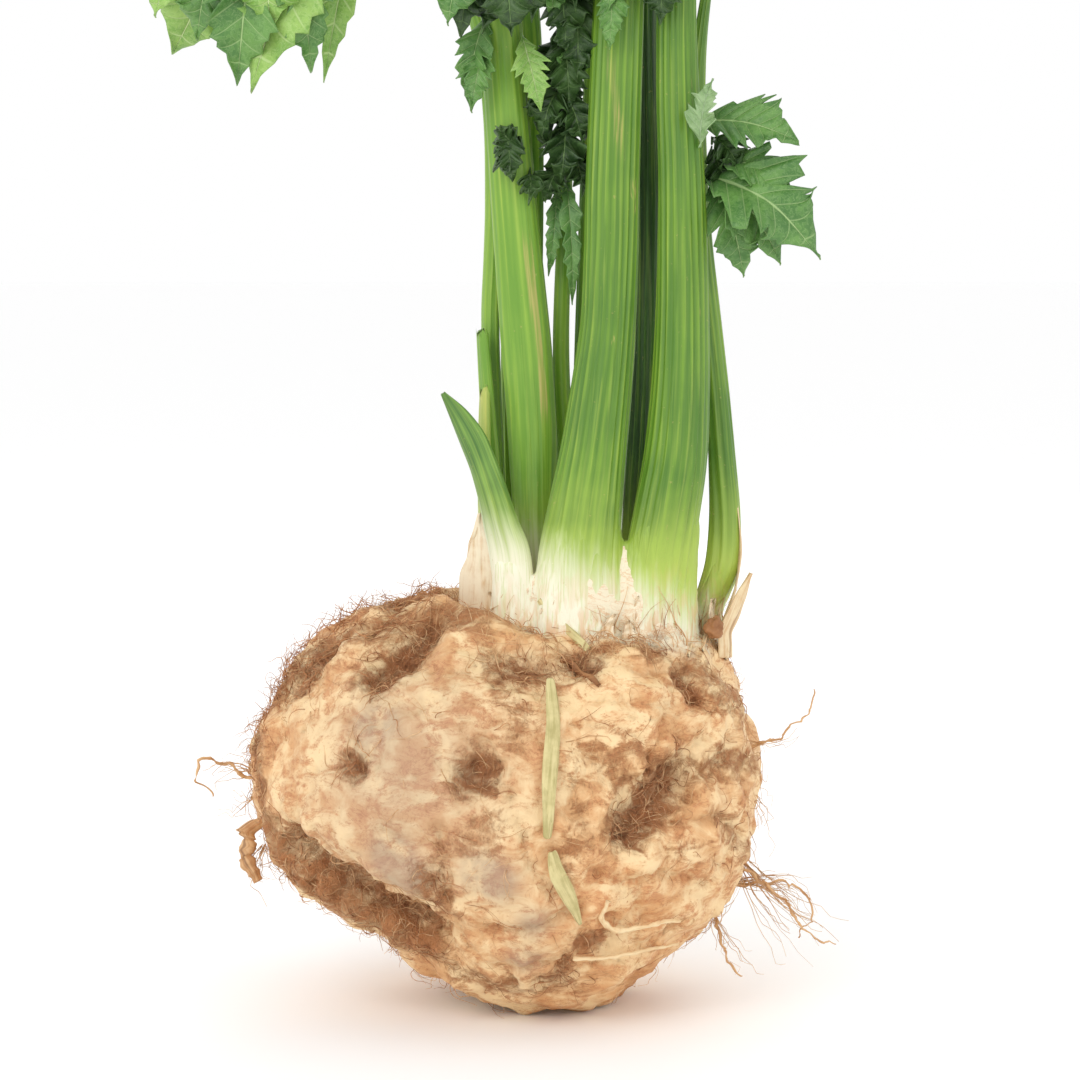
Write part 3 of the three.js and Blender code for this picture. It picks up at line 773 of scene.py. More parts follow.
def stalk_finish(name, green, deep, scars=0.5, healed_line=None, rolled=True):
    """The flesh of a stalk. `healed_line` is a scar: its x and z at both ends, and its width, in mm. A piece
    that isn't rolled up has no map of its own, so there the lines run upwards."""
    finish = Finish(name)
    place = finish.place()
    along = finish.map() if rolled else place

    def longer(share):
        return (1, share, 1) if rolled else (1, 1, share)

    across = finish.part(place, 0) * (1 / MM)
    height = finish.part(place, 2) * (1 / MM)
    patch = finish.noise(place, 22, 3, 0.5)
    streak = finish.noise(along, 0.9, 3, 0.5, stretch=longer(45))
    line = finish.noise(along, 0.45, 2, 0.5, stretch=longer(60))
    colour = finish.mix((patch * 0.5 + streak * 0.6).step(0.42, 0.68), green, deep)
    colour = finish.mix((height + patch * 26 - 13).step(138, 104), colour, YELLOW_GREEN)
    buried = height + across * 0.4 + streak * 14 + patch * 8 - 11
    colour = finish.mix(buried.step(124, 105), colour, FOOT_WHITE)
    colour = finish.mix(line.step(0.5, 0.66) * 0.32, colour, YELLOW_GREEN)
    # Painted shade: the valleys between the ribs, where the mark is high, are darkened to the deep green
    # above the stalk's foot.
    colour = finish.mix(finish.kept("mark") * height.step(116, 150) * 0.8, colour, deep)
    healed = finish.noise(along, 3.2, 4, 0.65, 0.5, stretch=longer(7)).step(0.66, 0.72)
    colour = finish.mix(healed * scars, colour, SCAR)
    if healed_line:
        low_x, low_z, high_x, high_z, width = healed_line
        lean = (high_x - low_x) / (high_z - low_z)
        from_line = across - low_x - (height - low_z) * lean + (streak - 0.5) * 4
        along_line = height.step(low_z - 6, low_z + 4) * height.step(high_z + 6, high_z - 4)
        seen = from_line.near(0, width) * along_line
        colour = finish.mix(seen * (patch + line).step(0.75, 1.2) * 0.8, colour, SCAR)
    fleck = finish.noise(place, 1.3, 3, 0.6).step(0.68, 0.74)
    colour = finish.mix(fleck * 0.35, colour, SCAR)
    soiled = finish.noise(place, 4, 4, 0.65, 0.8, stretch=(0.6, 0.6, 2)).step(0.44, 0.62)
    colour = finish.mix(soiled * (height.step(116, 100) * 0.3 + height.step(103, 92) * 0.5), colour, TAN)
    normal = finish.bump(line * 0.5 + streak * 0.5, 0.25)
    return finish.done(Base_Color=colour, Roughness=healed * 0.25 + streak * 0.15 + 0.34, Normal=normal)


stalk_flesh = stalk_finish("stalk_green", STALK_GREEN, DEEP_GREEN)
front_flesh = stalk_finish("stalk_front_green", STALK_GREEN, DEEP_GREEN, 0.5, (18, 214, 16, 232, 1.6))
pale_flesh = stalk_finish("stalk_pale", paint("8BB13C"), paint("68962C"), 0.35, (0.5, 146, -4.5, 189, 1.5))
# Painted shade: the middle stalk stands in the dark gap between the front stalks, so its greens are darkened
# far below those of the others.
shaded_flesh = stalk_finish("stalk_shaded", paint("46702A"), paint("23421A"), 0.2)
feet_flesh = stalk_finish("stalk_feet", STALK_GREEN, DEEP_GREEN, 0.3, rolled=False)
hand_in(feet, feet_flesh, "stalk_green")
print("stalk materials:", stalk_flesh.name, front_flesh.name, pale_flesh.name, shaded_flesh.name)

# %% The ten stalks: the number of ribs of each, their height in mm, and the flesh
STALKS = {
    "stalk_front": (22, 0.42, front_flesh),
    "stalk_front_right": (20, 0.6, stalk_flesh),
    "stalk_front_left": (18, 0.16, pale_flesh),
    "stalk_right": (14, 0.38, stalk_flesh),
    "stalk_left_arching": (14, 0.30, pale_flesh),
    "stalk_young": (10, 0.16, pale_flesh),
    "stalk_middle": (14, 0.32, shaded_flesh),
    "stalk_back_left": (18, 0.40, stalk_flesh),
    "stalk_back": (20, 0.40, stalk_flesh),
    "stalk_back_right": (18, 0.40, stalk_flesh),
}
STALK_ROUND = 110
STALK_STEPS = 130
FULL_SIZE = 5  # the ribs of a stalk are lower where its radius is less than this


def ribbed(ribs, height, seed):
    """A shaping step that raises ribs on the rounded outside, and leaves the groove smooth."""
    def shape(skin, out, share_round, share_along):
        outside = soft_step(0.10, 0.24, share_round) * soft_step(0.90, 0.76, share_round)
        wander = 0.25 * np.sin(7 * share_along + seed) + 0.12 * np.sin(19 * share_along + 2 * seed)
        rib = (0.5 + 0.5 * np.cos(2 * math.pi * (ribs * share_round + wander))) ** 1.6
        uneven = 0.7 + 0.3 * np.cos(5 * share_round * 2 * math.pi + seed)
        size = np.linalg.norm(skin - skin.mean(axis=1, keepdims=True), axis=2).mean(axis=1, keepdims=True)
        grown = soft_step(0.02, 0.16, share_along) * np.minimum(size / FULL_SIZE, 1)
        swell = 0.25 * np.sin(11 * share_along + 3 * share_round * 2 * math.pi + seed)
        swell = swell * np.minimum(size / FULL_SIZE, 1)
        lift = height * (rib - 0.5) * outside * uneven * grown + swell
        # The mark is 1 in the valleys between the ribs, where the stalk material paints shade.
        return skin + out * lift[..., None], (1 - rib) * outside * grown
    return shape


for seed, (node, (ribs, height, flesh)) in enumerate(STALKS.items()):
    stalk = roll_up(node + "_ribbed", rooted(rings_of(node, STALK_SIDES)), STALK_ROUND, STALK_STEPS,
                    ribbed(ribs, height, seed))
    hand_in(stalk, flesh, "stalk_green", node)

# %% [markdown]
# ### Stubs, sheaths and the knob
#
# Some stalks were broken off or torn, and their stubs dry from the top down. They are rolled up in the same
# way, with a ragged rim: each point of the last tenth is pulled back by its own amount. The two sheaths are
# the papery feet of lost leaves, crumpled and torn along their edge.

# %% Torn ends
def torn(ribs, height, seed, rag):
    """A ribbed shape whose end is torn: its rim is pulled back by up to `rag` mm."""
    ribs_only = ribbed(ribs, height, seed)

    def shape(skin, out, share_round, share_along):
        skin, mark = ribs_only(skin, out, share_round, share_along)
        way = skin[-1].mean(axis=0) - skin[-2].mean(axis=0)
        way = way / np.linalg.norm(way)
        notch = (0.5 + 0.5 * np.sin(2 * math.pi * 3 * share_round + seed)) * 0.5
        notch = notch + 0.5 * (0.5 + 0.5 * np.sin(2 * math.pi * 11 * share_round + 4 * seed))
        pull = rag * notch * soft_step(0.86, 1.0, share_along)
        return skin - way * pull[..., None], mark
    return shape


def crumpled(seed, height=0.5, flare=0.0, taper=0.0):
    """A shaping step for papery pieces: wider below or tapered to both ends, creased and wavy."""
    def shape(skin, out, share_round, share_along):
        middle = skin.mean(axis=1, keepdims=True)
        wide = 1 + flare * soft_step(1, 0.1, share_along) - taper * (1 - np.sin(math.pi * share_along) ** 0.4)
        skin = middle + (skin - middle) * wide[..., None]
        crease = np.sin(2 * math.pi * 5 * share_round + 2 * np.sin(5 * share_along + seed))
        wave = np.sin(14 * share_along + 3 * math.pi * share_round + seed)
        lift = height * (0.5 * crease + 0.5 * wave) * soft_step(0, 0.2, share_along)
        side = out[:1].repeat(len(out), axis=0)
        sway = np.array([0, 1, 0]) * (0.6 * wave * share_along)[..., None]
        return skin + side * lift[..., None] * 0.6 + sway, 0.5 - 0.5 * crease
    return shape


# %% Dry material
DRY_PALE = paint("EFE2C6")
DRY_TAN = paint("D3B083")
DRY_VEIN = paint("9A6B42")


def dry_finish(name, pale, tan, vein, veins=0.6):
    finish = Finish(name)
    place = finish.place()
    along = finish.map()
    streak = finish.noise(along, 0.7, 3, 0.6, 0.4, stretch=(1, 22, 1))
    patch = finish.noise(place, 5, 4, 0.6)
    colour = finish.mix((streak * 0.6 + patch * 0.5).step(0.45, 0.72), pale, tan)
    fibre = finish.noise(along, 1.4, 2, 0.5, 0.6, stretch=(1, 30, 1))
    colour = finish.mix(fibre.step(0.62, 0.7) * veins, colour, vein)
    normal = finish.bump(streak * 0.7 + patch * 0.3, 0.3)
    return finish.done(Base_Color=colour, Roughness=patch * 0.3 + 0.55, Normal=normal)


papery = dry_finish("dry_sheath", DRY_PALE, DRY_TAN, DRY_VEIN)
tan_papery = dry_finish("tan_sheath", paint("EAD5AC"), paint("D2AB7C"), paint("9A6B42"))
strip_flesh = dry_finish("pale_strip", paint("D6C891"), paint("AFA36A"), paint("8A7344"), 0.6)
knob_bark = dry_finish("knob_bark", paint("A9774C"), paint("7A4B2B"), paint("4E2D18"))
rootlet_bark = dry_finish("rootlet_bark", paint("D9B081"), paint("B07B4C"), paint("704427"))
pale_rootlet = dry_finish("pale_rootlet", paint("F0D8AC"), paint("DDB785"), paint("A87B4C"), 0.3)

# %% Stubs and sheaths
yellow_flesh = stalk_finish("stalk_yellowed", paint("B9BE62"), paint("8FA848"), 0.8)
tip_flesh = stalk_finish("stub_dark_tip", paint("7FA748"), paint("47702C"), 0.4)
STUBS = {
    "stub_pointed": (12, 0.22, 0.5, tip_flesh),
    "stub_left_tall": (9, 0.2, 3.0, pale_flesh),
    "stub_left_short": (8, 0.2, 4.0, yellow_flesh),
}
for seed, (node, (ribs, height, rag, flesh)) in enumerate(STUBS.items()):
    rings = rooted(rings_of(node, STALK_SIDES), 7, 1.1)
    stub = roll_up(node + "_torn", rings, 72, 70, torn(ribs, height, seed + 3, rag))
    hand_in(stub, flesh, "stalk_green", node)

for seed, node in enumerate(("sheath_left", "sheath_right")):
    rings = rooted(rings_of(node, DRY_SIDES), 6, 1.0)
    sheath = roll_up(node + "_papery", rings, 56, 44, crumpled(seed, 0.5, 0.5 * (1 - seed)))
    hand_in(sheath, (papery, tan_papery)[seed], "stalk_dry", node)

# %% Strips on the front, and the knob
for seed, node in enumerate(("strip_front", "strip_front_low")):
    strip = roll_up(node + "_dried", rings_of(node, DRY_SIDES), 32, 80, crumpled(seed + 5, 0.3, 0, 0.6))
    hand_in(strip, strip_flesh, "stalk_dry", node)

knob = cad_copy("crown_knob", "crown_knob_bark")
modify(knob, "SUBSURF", levels=1, render_levels=1)
knob_places = points(knob)
move_points(knob, knob_places + outward(knob) * (0.5 * grain(knob_places, 1.6))[:, None])
hand_in(knob, knob_bark, "rootlet", "crown_knob")

# %% [markdown]
# ### Torn remains round the crown
#
# Round the feet of the stalks are the remains of older ones: papery scales, brown strands at the right, a
# green strip that has fallen across the crown, and a brown curl under it. Each is a flat tube round a line of
# stops, as wide as its list of widths says. Those that lie on the root are led over its skin.

# %% Ribbons
RIBBON_RINGS = 12


def ribbon(stops, widths, thick, seed):
    """A flat strip through stops in mm, facing away from the crown's middle line."""
    line = spline(stops, RIBBON_RINGS)
    wide = np.interp(np.linspace(0, 1, RIBBON_RINGS), np.linspace(0, 1, len(widths)), widths)
    run = np.gradient(line, axis=0)
    out = line - np.array([*CROWN_MIDDLE, 0]) - np.outer(line[:, 2], (0, 0, 1)) + (0, 0, 0.01)
    side = straight(np.cross(run, out))
    out = straight(np.cross(side, run))
    turns = np.linspace(0, 2 * math.pi, DRY_SIDES, endpoint=False)
    rings = [m + w / 2 * np.outer(np.cos(turns), a) + thick / 2 * np.outer(np.sin(turns), b)
             for m, w, a, b in zip(line, wide, side, out)]
    return roll_up("ribbon", np.array(rings), 20, 36, crumpled(seed, 0.35))


def lying(*stops, lift=0.5):
    """Stops on the front of the root, given by x and z."""
    return [on_skin(x, z, tree=root_skin) - (0, lift, 0) for x, z in stops]


SCALE_TURNS = [-62, -50, -38, -27, -17, 3, 14, 22, 33, 42, 55, 68, 82, 110, 140, 170, 200, 228, 255, 280]
SCALE_RING = (31, 25)  # half the width and depth of the ring that the scales stand on
SCALE_FOOT = 92.5


def scale_of(turn, rng):
    """The stops of a papery scale that leans on the stalk feet, this far round the crown in degrees."""
    across, back = math.sin(math.radians(turn)), -math.cos(math.radians(turn))
    reach = rng.uniform(0.90, 1.04)
    foot_x = CROWN_MIDDLE[0] + SCALE_RING[0] * reach * across
    foot = np.array([foot_x, SCALE_RING[1] * reach * back, SCALE_FOOT])
    tall = rng.uniform(6, 13)
    lean = rng.uniform(-3, 3)
    inward = -np.array([across, back, 0])
    aside = np.array([-back, across, 0])
    middle = foot + (0, 0, tall * 0.6) + inward * 1.5 + aside * lean * 0.3
    return [foot, middle, foot + (0, 0, tall) + inward * 1.0 + aside * lean]


# %% Papery scales
rng = np.random.default_rng(5)
for seed, turn in enumerate(SCALE_TURNS):
    scale = ribbon(scale_of(turn, rng), [rng.uniform(3, 6), rng.uniform(2.5, 5), 0.5], 0.5, seed)
    scale.name = "crown_scale_%02d" % seed
    hand_in(scale, papery, "stalk_dry")

# %% Torn remains, with their stops, widths and thickness in mm
REMAINS = [
    (lying((-1.5, 101), (2, 97), (7, 92), (11, 88.5)), [1.4, 2.6, 2.4, 1.6], 0.9, strip_flesh),
    (lying((4, 86), (7, 84.5), (9, 82.5), (12, 81), (13.5, 79.5)), [1.6, 1.8, 1.4, 1.0], 1.2, knob_bark),
    ([(47.8, 0, 126), (48.8, -0.5, 114), (47.4, -2.5, 104), (44, -5, 95)],
     [0.6, 2.6, 3.4, 3.4], 0.6, tan_papery),
    (lying((40, 101), (40.5, 95), (39.5, 88)), [0.8, 1.8, 1.6], 0.6, tan_papery),
    (lying((43.5, 99), (44, 93), (45.5, 86)), [0.8, 1.4, 1.2], 0.6, tan_papery),
    (lying((37, 99), (37.5, 93), (36, 87)), [0.6, 1.2, 1.2], 0.6, tan_papery),
    ([(-9, -17, 106), (-10, -18, 100), (-12, -19, 94)], [0.6, 4.0, 5.0], 0.5, papery),
]
for seed, (stops, widths, thick, dried) in enumerate(REMAINS):
    remains = ribbon(stops, widths, thick, seed + 30)
    remains.name = "torn_remains_%d" % seed
    hand_in(remains, dried, "stalk_dry")

# %% [markdown]
# ## Leaves
#
# A celeriac leaflet has three lobes with a few coarse teeth, and side veins that run forward from its midrib
# into the teeth. So it is laid out along those veins: each row of a grid becomes one line from the midrib to
# the edge, longer where it ends in a tooth and shorter where it ends in a notch. The blade between two veins
# is puffed up, the halves fold up from the midrib, the edge waves, and Solidify makes the blade thick.
#
# The end of a stalk carries a whole leaf of three such leaflets. The frame holds each leaf as a flat outline
# that gives the base, the tip, the width and the way that it faces. A crumple number makes the young leaves
# between the stalks curly.

# %% Where a leaf is
stalk_corners = [corner.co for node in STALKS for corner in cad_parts[node].data.vertices]
loose_triangles = [[k, k + 1, k + 2] for k in range(0, len(stalk_corners), 3)]
stalk_tree = BVHTree.FromPolygons(stalk_corners, loose_triangles)
WHOLE_LEAF = [(0.26, 0, 0.74, 1.0), (0.2, 62, 0.52, 0.7), (0.2, -62, 0.52, 0.7)]  # start, turn, length, width
WHOLE_CORNERS = 100  # a whole leaf in the frame has more corners than this, and a leaflet fewer


def pose_of(node):
    """A leaf's base, tip, upper way and width at its end leaflet, in mm, and whether it is a whole leaf."""
    corners = np.unique(np.round(points(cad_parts[node]), 3), axis=0)
    apart = np.linalg.norm(corners[:, None] - corners[None], axis=2)
    ends = [corners[k] for k in np.unravel_index(apart.argmax(), apart.shape)]
    ends.sort(key=lambda end: stalk_tree.find_nearest(Vector(end) * MM)[3])
    base, tip = ends
    length = np.linalg.norm(tip - base)
    along = (tip - base) / length
    share = (corners - base) @ along / length
    flat = corners - base - np.outer(share * length, along)
    bow = share * (1 - share)
    arched = bow @ flat / (bow @ bow)
    side = np.linalg.svd(flat - np.outer(bow, arched), full_matrices=False)[2][0]
    up = np.cross(along, side)
    up = up * np.sign(arched @ up)
    whole = len(corners) > WHOLE_CORNERS
    widest = (share > 0.6) & (share < 0.76) if whole else share > 0
    return base, tip, up, np.ptp(flat[widest] @ side), whole


# %% Lay a leaflet out along its veins
VEINS = 8
TEETH = [0.60, 1.06, 0.94, 0.84, 0.74, 0.52, 0.26]
NOTCHES = [0.08, 0.50, 0.82, 0.46, 0.62, 0.48, 0.32, 0.10]
VEIN_SLANT = math.radians(47)
LEAF_ROWS = 64
LEAF_COLUMNS = 20
LEAF_THICK = 0.3
SPREAD = 0.12  # how steeply the side leaflets of a whole leaf rise


def leaflet(length, width, rng, crumple):
    """A flat leaflet along +X from the origin, as a grid and the places of its points in mm."""
    bpy.ops.mesh.primitive_grid_add(x_subdivisions=LEAF_COLUMNS, y_subdivisions=LEAF_ROWS, size=1)
    blade = bpy.context.object
    unit = points(blade) * MM
    across = 2 * unit[:, 0]
    share = unit[:, 1] + 0.5
    stations = np.linspace(0, 1, 2 * VEINS + 1)
    reach = np.zeros(len(across))
    for half in (-1, 1):
        edge = np.zeros(len(stations))
        edge[2:-1:2] = np.array(TEETH) * rng.uniform(0.84, 1.1, len(TEETH))
        edge[1::2] = np.array(NOTCHES) * rng.uniform(0.8, 1.15, len(NOTCHES))
        on_half = across * half >= 0
        reach[on_half] = np.interp(share[on_half], stations, edge)
    y = across * width / 2 * reach
    forward = np.abs(y) / math.tan(VEIN_SLANT)
    x = share * length
    x = x + forward * soft_step(1.05, 0.7, (x + forward) / length)
    far = np.abs(across)
    between = np.abs(np.sin(math.pi * VEINS * share))
    z = 0.06 * width * between * far * (1.3 - far) * np.minimum(reach * 2, 1)
    ripple = np.sin(2 * math.pi * (2.2 * share + rng.uniform(0, 1)) + 2 * np.sign(across))
    z += (0.05 + 0.1 * crumple) * width * far ** 2 * ripple
    z += crumple * 0.2 * width * far * np.sin(2 * math.pi * 4.5 * share + rng.uniform(0, 6))
    z -= rng.uniform(0, 0.2) * length * soft_step(0.55, 1.15, x / length)
    return blade, np.stack([x, y, z], axis=1)


def leaf(name, base, tip, up, width, whole=False, seed=0, crumple=0.0, fold=0.22, arch=0.12):
    """A leaf's blade, or the three of a whole leaf, in place from base to tip."""
    base, tip, up = (np.asarray(v, float) for v in (base, tip, up))
    length = np.linalg.norm(tip - base)
    along = (tip - base) / length
    side = np.cross(up, along)
    side /= np.linalg.norm(side)
    up = np.cross(along, side)
    rng = np.random.default_rng(seed)
    blades = []
    for start, turn, long, wide in WHOLE_LEAF if whole else [(0, 0, 1, 1)]:
        blade, flat = leaflet(length * long, width * wide, rng, crumple)
        turn = math.radians(turn)
        x = start * length + flat[:, 0] * math.cos(turn) - flat[:, 1] * math.sin(turn)
        y = flat[:, 0] * math.sin(turn) + flat[:, 1] * math.cos(turn)
        share = x / length
        own_fold = np.abs(flat[:, 1]) if whole else np.abs(y)
        z = flat[:, 2] + fold * own_fold + SPREAD * (np.abs(y) - own_fold)
        z = z + 4 * arch * length * share * (1 - share)
        move_points(blade, base + np.outer(x, along) + np.outer(y, side) + np.outer(z, up))
        modify(blade, "SOLIDIFY", thickness=LEAF_THICK * MM, offset=0)
        blades.append(blade)
    if whole:
        blades.append(petiole(base, along, up, length, arch))
    select_only(blades[0])
    for blade in blades:
        blade.select_set(True)
    bpy.ops.object.join()
    blades[0].name = name
    return blades[0]


MIDRIB = [(-0.03, 1.2), (0.08, 1.1), (0.2, 0.9), (0.32, 0.7), (0.5, 0.45), (0.7, 0.2)]  # share along, radius
MIDRIB_SIDES = 6


def petiole(base, along, up, length, arch):
    """The midrib of a whole leaf, from its base to the middle of its end leaflet."""
    side = np.cross(up, along)
    turns = [2 * math.pi * k / MIDRIB_SIDES for k in range(MIDRIB_SIDES)]
    rings = []
    for share, radius in MIDRIB:
        middle = base + along * share * length + up * (4 * arch * length * share * (1 - share) - LEAF_THICK)
        rings.append([middle + radius * (math.cos(t) * side + math.sin(t) * up) for t in turns])
    rib = roll_up("petiole", np.array(rings), 8, 16)
    uv = np.full(len(rib.data.loops) * 2, 0.5)
    rib.data.uv_layers[0].data.foreach_set("uv", uv)
    return rib


# %% [markdown]
# ### Leaf green
#
# The blade's own UV map runs from edge to edge one way and from base to tip the other, so a vein is a
# straight line on it: one at the middle, and eight a side, an eighth of the map apart. Veins are paler than
# the blade, and the blade varies from deep to yellow green from leaf to leaf. The dark green of the leaves
# between and behind the stalks is partly their own colour and partly painted shade.

# %% Leaf material
def leaf_finish(name, green, deep, vein):
    finish = Finish(name)
    place = finish.place()
    across, along = (finish.part(finish.map(), axis) for axis in (0, 1))
    from_midrib = (across - 0.5).size()
    from_vein = (along * VEINS).to_and_fro(0.5)
    patch = finish.noise(place, 9, 4, 0.6)
    fine = finish.noise(place, 1.2, 3, 0.6, 0.6)
    colour = finish.mix((patch * 0.7 + fine * 0.35).step(0.4, 0.68), deep, green)
    midrib = 1 - from_midrib.step(0.008, 0.03)
    side_vein = (1 - from_vein.step(0.015, 0.07)) * (1 - from_midrib.step(0.3, 0.5) * 0.7)
    net = fine.near(0.5, 0.03) * 0.25
    veins = (midrib * 0.9).most(side_vein * 0.5)
    colour = finish.mix(veins.most(net), colour, vein)
    normal = finish.bump(1 - veins * 0.6 + fine * 0.3, 0.35)
    return finish.done(Base_Color=colour, Roughness=patch * 0.2 + 0.36, Normal=normal)


light_leaf = leaf_finish("leaf_light", paint("97BC5E"), paint("6F9C40"), paint("C6DA9A"))
mid_leaf = leaf_finish("leaf_mid", paint("679447"), paint("467433"), paint("A3C180"))
# Partly painted shade: this dark green, for the leaves between and behind the stalks, is their own colour
# darkened for the shade that they sit in.
dark_leaf = leaf_finish("leaf_dark", paint("3C5B27"), paint("1F3A15"), paint("6C8A50"))
grey_leaf = leaf_finish("leaf_grey", paint("9BB783"), paint("7C9D66"), paint("B3CBA0"))
LEAF_GREENS = {
    "leaf_left": light_leaf, "leaf_bright": light_leaf, "leaf_right_flap": grey_leaf,
    "leaf_upper_left_dark": dark_leaf, "leaf_front_left_dark": dark_leaf, "leaf_young": dark_leaf,
    "leaf_right_dark": dark_leaf, "leaf_between": dark_leaf, "leaf_front_tip": mid_leaf, "leaf_": mid_leaf,
}
SMALL_LEAF = 20

# %% The leaves of the frame
leaf_nodes = sorted(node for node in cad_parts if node.startswith("leaf_"))
for seed, node in enumerate(leaf_nodes):
    base, tip, up, width, whole = pose_of(node)
    small = np.linalg.norm(tip - base) < SMALL_LEAF
    blade = leaf(node + "_blade", base, tip, up, width, whole, seed, crumple=0.5 if small else 0.0)
    green = next(finish for start, finish in LEAF_GREENS.items() if node.startswith(start))
    hand_in(blade, green, "leaf_green", node)

# %% [markdown]
# ### Young leaves between the stalks
#
# Young leaves sit in tufts between the stalks, still folded and curly. Each is a short leaflet of its own,
# set by its base, its tip, the way that it faces and its width.

# %% Tufts of young leaves
YOUNG_LEAVES = [
    ((5, -6, 226), (9, -13, 214), (0.2, -1, 0.3), 11, 0.9, dark_leaf),
    ((4, -5, 228), (-1, -12, 217), (-0.3, -1, 0.2), 12, 0.9, dark_leaf),
    ((5, -5, 220), (4, -12, 205), (0.1, -1, 0.2), 12, 1.0, dark_leaf),
    ((6, -4, 214), (9.5, -9, 202), (0.3, -1, 0), 9, 1.0, dark_leaf),
    ((4, -4, 210), (0, -9, 200), (-0.2, -1, 0), 9, 1.0, dark_leaf),
    ((6, -3, 230), (8, -10, 238), (0, -1, -0.2), 10, 0.8, mid_leaf),
    ((-6, -9.5, 212), (-12, -12.5, 218), (-0.2, -1, 0.2), 8, 1.2, dark_leaf),
    ((-6, -9.5, 211), (-12.5, -12, 208), (-0.2, -1, 0.2), 8, 1.2, dark_leaf),
    ((-4, -8, 207), (-3.5, -13, 200.5), (0.2, -1, 0.2), 7, 1.0, dark_leaf),
    ((-8, -9, 262), (-25, -18, 247), (-0.2, -1, 0.5), 17, 0.3, dark_leaf),
    ((-9, -9, 258), (-15, -17, 241), (0.1, -1, 0.3), 14, 0.5, dark_leaf),
    ((-14, -4, 246), (-19, -11, 223), (-0.3, -1, 0.1), 10, 0.4, mid_leaf),
    ((0, -8, 262), (2, -16, 244), (0.2, -1, 0.3), 14, 0.5, mid_leaf),
    ((8, -12, 266), (7, -21, 247), (-0.1, -1, 0.3), 14, 0.5, dark_leaf),
    ((24, -14, 264), (27, -22, 248), (0.1, -1, 0.3), 14, 0.4, dark_leaf),
    ((25, -13, 262), (21, -21, 250), (-0.2, -1, 0.3), 11, 0.5, mid_leaf),
    ((41, -2, 216), (48, -9, 208), (0.2, -1, 0.4), 10, 0.8, dark_leaf),
    ((41, 0, 213), (45, -7, 201), (0.1, -1, 0.3), 10, 0.7, dark_leaf),
    ((41, -3, 208), (49, -9, 182), (0.1, -1, 0.3), 17, 0.1, mid_leaf),
    ((41, -4, 207), (58, -12, 186), (0.2, -1, 0.3), 17, 0.1, mid_leaf),
    ((41, -2, 211), (61, -10, 203), (0.2, -1, 0.5), 14, 0.2, mid_leaf),
    ((-70, -14, 268), (-74, -20, 228), (0.1, -1, 0.2), 21, 0.15, mid_leaf),
    ((-62, -14, 264), (-56, -18, 231), (0.2, -1, 0.2), 15, 0.15, mid_leaf),
    ((-84, -14, 266), (-94, -18, 244), (-0.2, -1, 0.3), 18, 0.2, light_leaf),
    ((-77, -16, 264), (-84, -21, 239), (0, -1, 0.4), 17, 0.25, mid_leaf),
    ((-66, -18, 268), (-66, -23, 240), (0, -1, 0.3), 19, 0.25, light_leaf),
    ((-4, -8, 266), (-8, -17, 243), (-0.2, -1, 0.3), 17, 0.4, dark_leaf),
    ((-6, -9, 262), (-22, -19, 252), (-0.3, -1, 0.6), 15, 0.3, dark_leaf),
    ((2, -6, 260), (5, -14, 236), (0.2, -1, 0.2), 15, 0.6, dark_leaf),
    ((7, -5, 256), (8, -12, 230), (0.1, -1, 0.2), 14, 0.6, dark_leaf),
    ((4, -4, 244), (6, -10, 222), (0.1, -1, 0.2), 13, 0.8, dark_leaf),
    ((2, -3, 240), (-1, -8, 226), (0.1, -1, 0.2), 11, 0.8, dark_leaf),
    ((16, -14, 266), (15, -23, 245), (0.1, -1, 0.2), 12, 0.3, mid_leaf),
    ((-10, -15, 262), (-8, -22, 239), (0, -1, 0.2), 17, 0.3, dark_leaf),
    ((-3, -14, 262), (-3, -21, 243), (0.1, -1, 0.2), 13, 0.4, dark_leaf),
    ((-16, -15, 262), (-24, -21, 243), (-0.2, -1, 0.4), 17, 0.2, mid_leaf),
    ((5, -2, 207), (7, -6, 175), (0.1, -1, 0.1), 6, 0.1, mid_leaf),
    ((3, 0, 204), (1, -4, 182), (0.1, -1, 0.1), 5, 0.2, mid_leaf),
    ((3, 2, 236), (0, 8, 222), (0, 1, 0.3), 12, 0.8, dark_leaf),
    ((20, 12, 240), (24, 20, 226), (0.2, 1, 0.3), 12, 0.7, dark_leaf),
    ((-2, 26, 262), (-8, 36, 250), (-0.2, 1, 0.4), 15, 0.4, mid_leaf),
    ((24, 24, 268), (27, 36, 254), (0.2, 1, 0.4), 15, 0.4, mid_leaf),
]
for seed, (base, tip, up, width, crumple, green) in enumerate(YOUNG_LEAVES):
    blade = leaf("young_leaf_%02d" % seed, base, tip, up, width, False, 100 + seed, crumple)
    hand_in(blade, green, "leaf_green")

# %% [markdown]
# ## Rootlets
#
# The rootlets that the frame holds are thin tapering threads. They are rolled up like the stalks, with many
# more steps, and a little noise makes them wander. Those in the air are carried on into the root's skin.

# %% The nine rootlets of the frame
def wandering(seed, size, thin):
    """A shaping step that makes a thread wander, thins it, and knots it here and there."""
    def shape(skin, out, share_round, share_along):
        middle = skin.mean(axis=1)
        drift = np.stack([grain(middle, 4.5, 3, seed=seed + k) for k in (1, 2, 3)], axis=1)
        drift = drift * soft_step(0, 0.15, share_along[:, :1]) * size
        knots = thin * (1 + 0.3 * grain(middle, 1.6, 2, seed=seed)[:, None, None])
        return middle[:, None] + (skin - middle[:, None]) * knots + drift[:, None], share_along
    return shape


def joined(rings):
    """The rings, from the end at the root's skin, with one more first, inside it."""
    ends = [root_skin.find_nearest(Vector(ring.mean(axis=0)) * MM)[3] for ring in (rings[0], rings[-1])]
    if ends[1] < ends[0]:
        rings = rings[::-1]
    middle = rings[0].mean(axis=0)
    hit, way = root_skin.find_nearest(Vector(middle) * MM)[:2]
    inside = np.array(hit - way * 1.5 * MM) / MM
    return np.concatenate([(rings[0] - middle + inside)[None], rings])


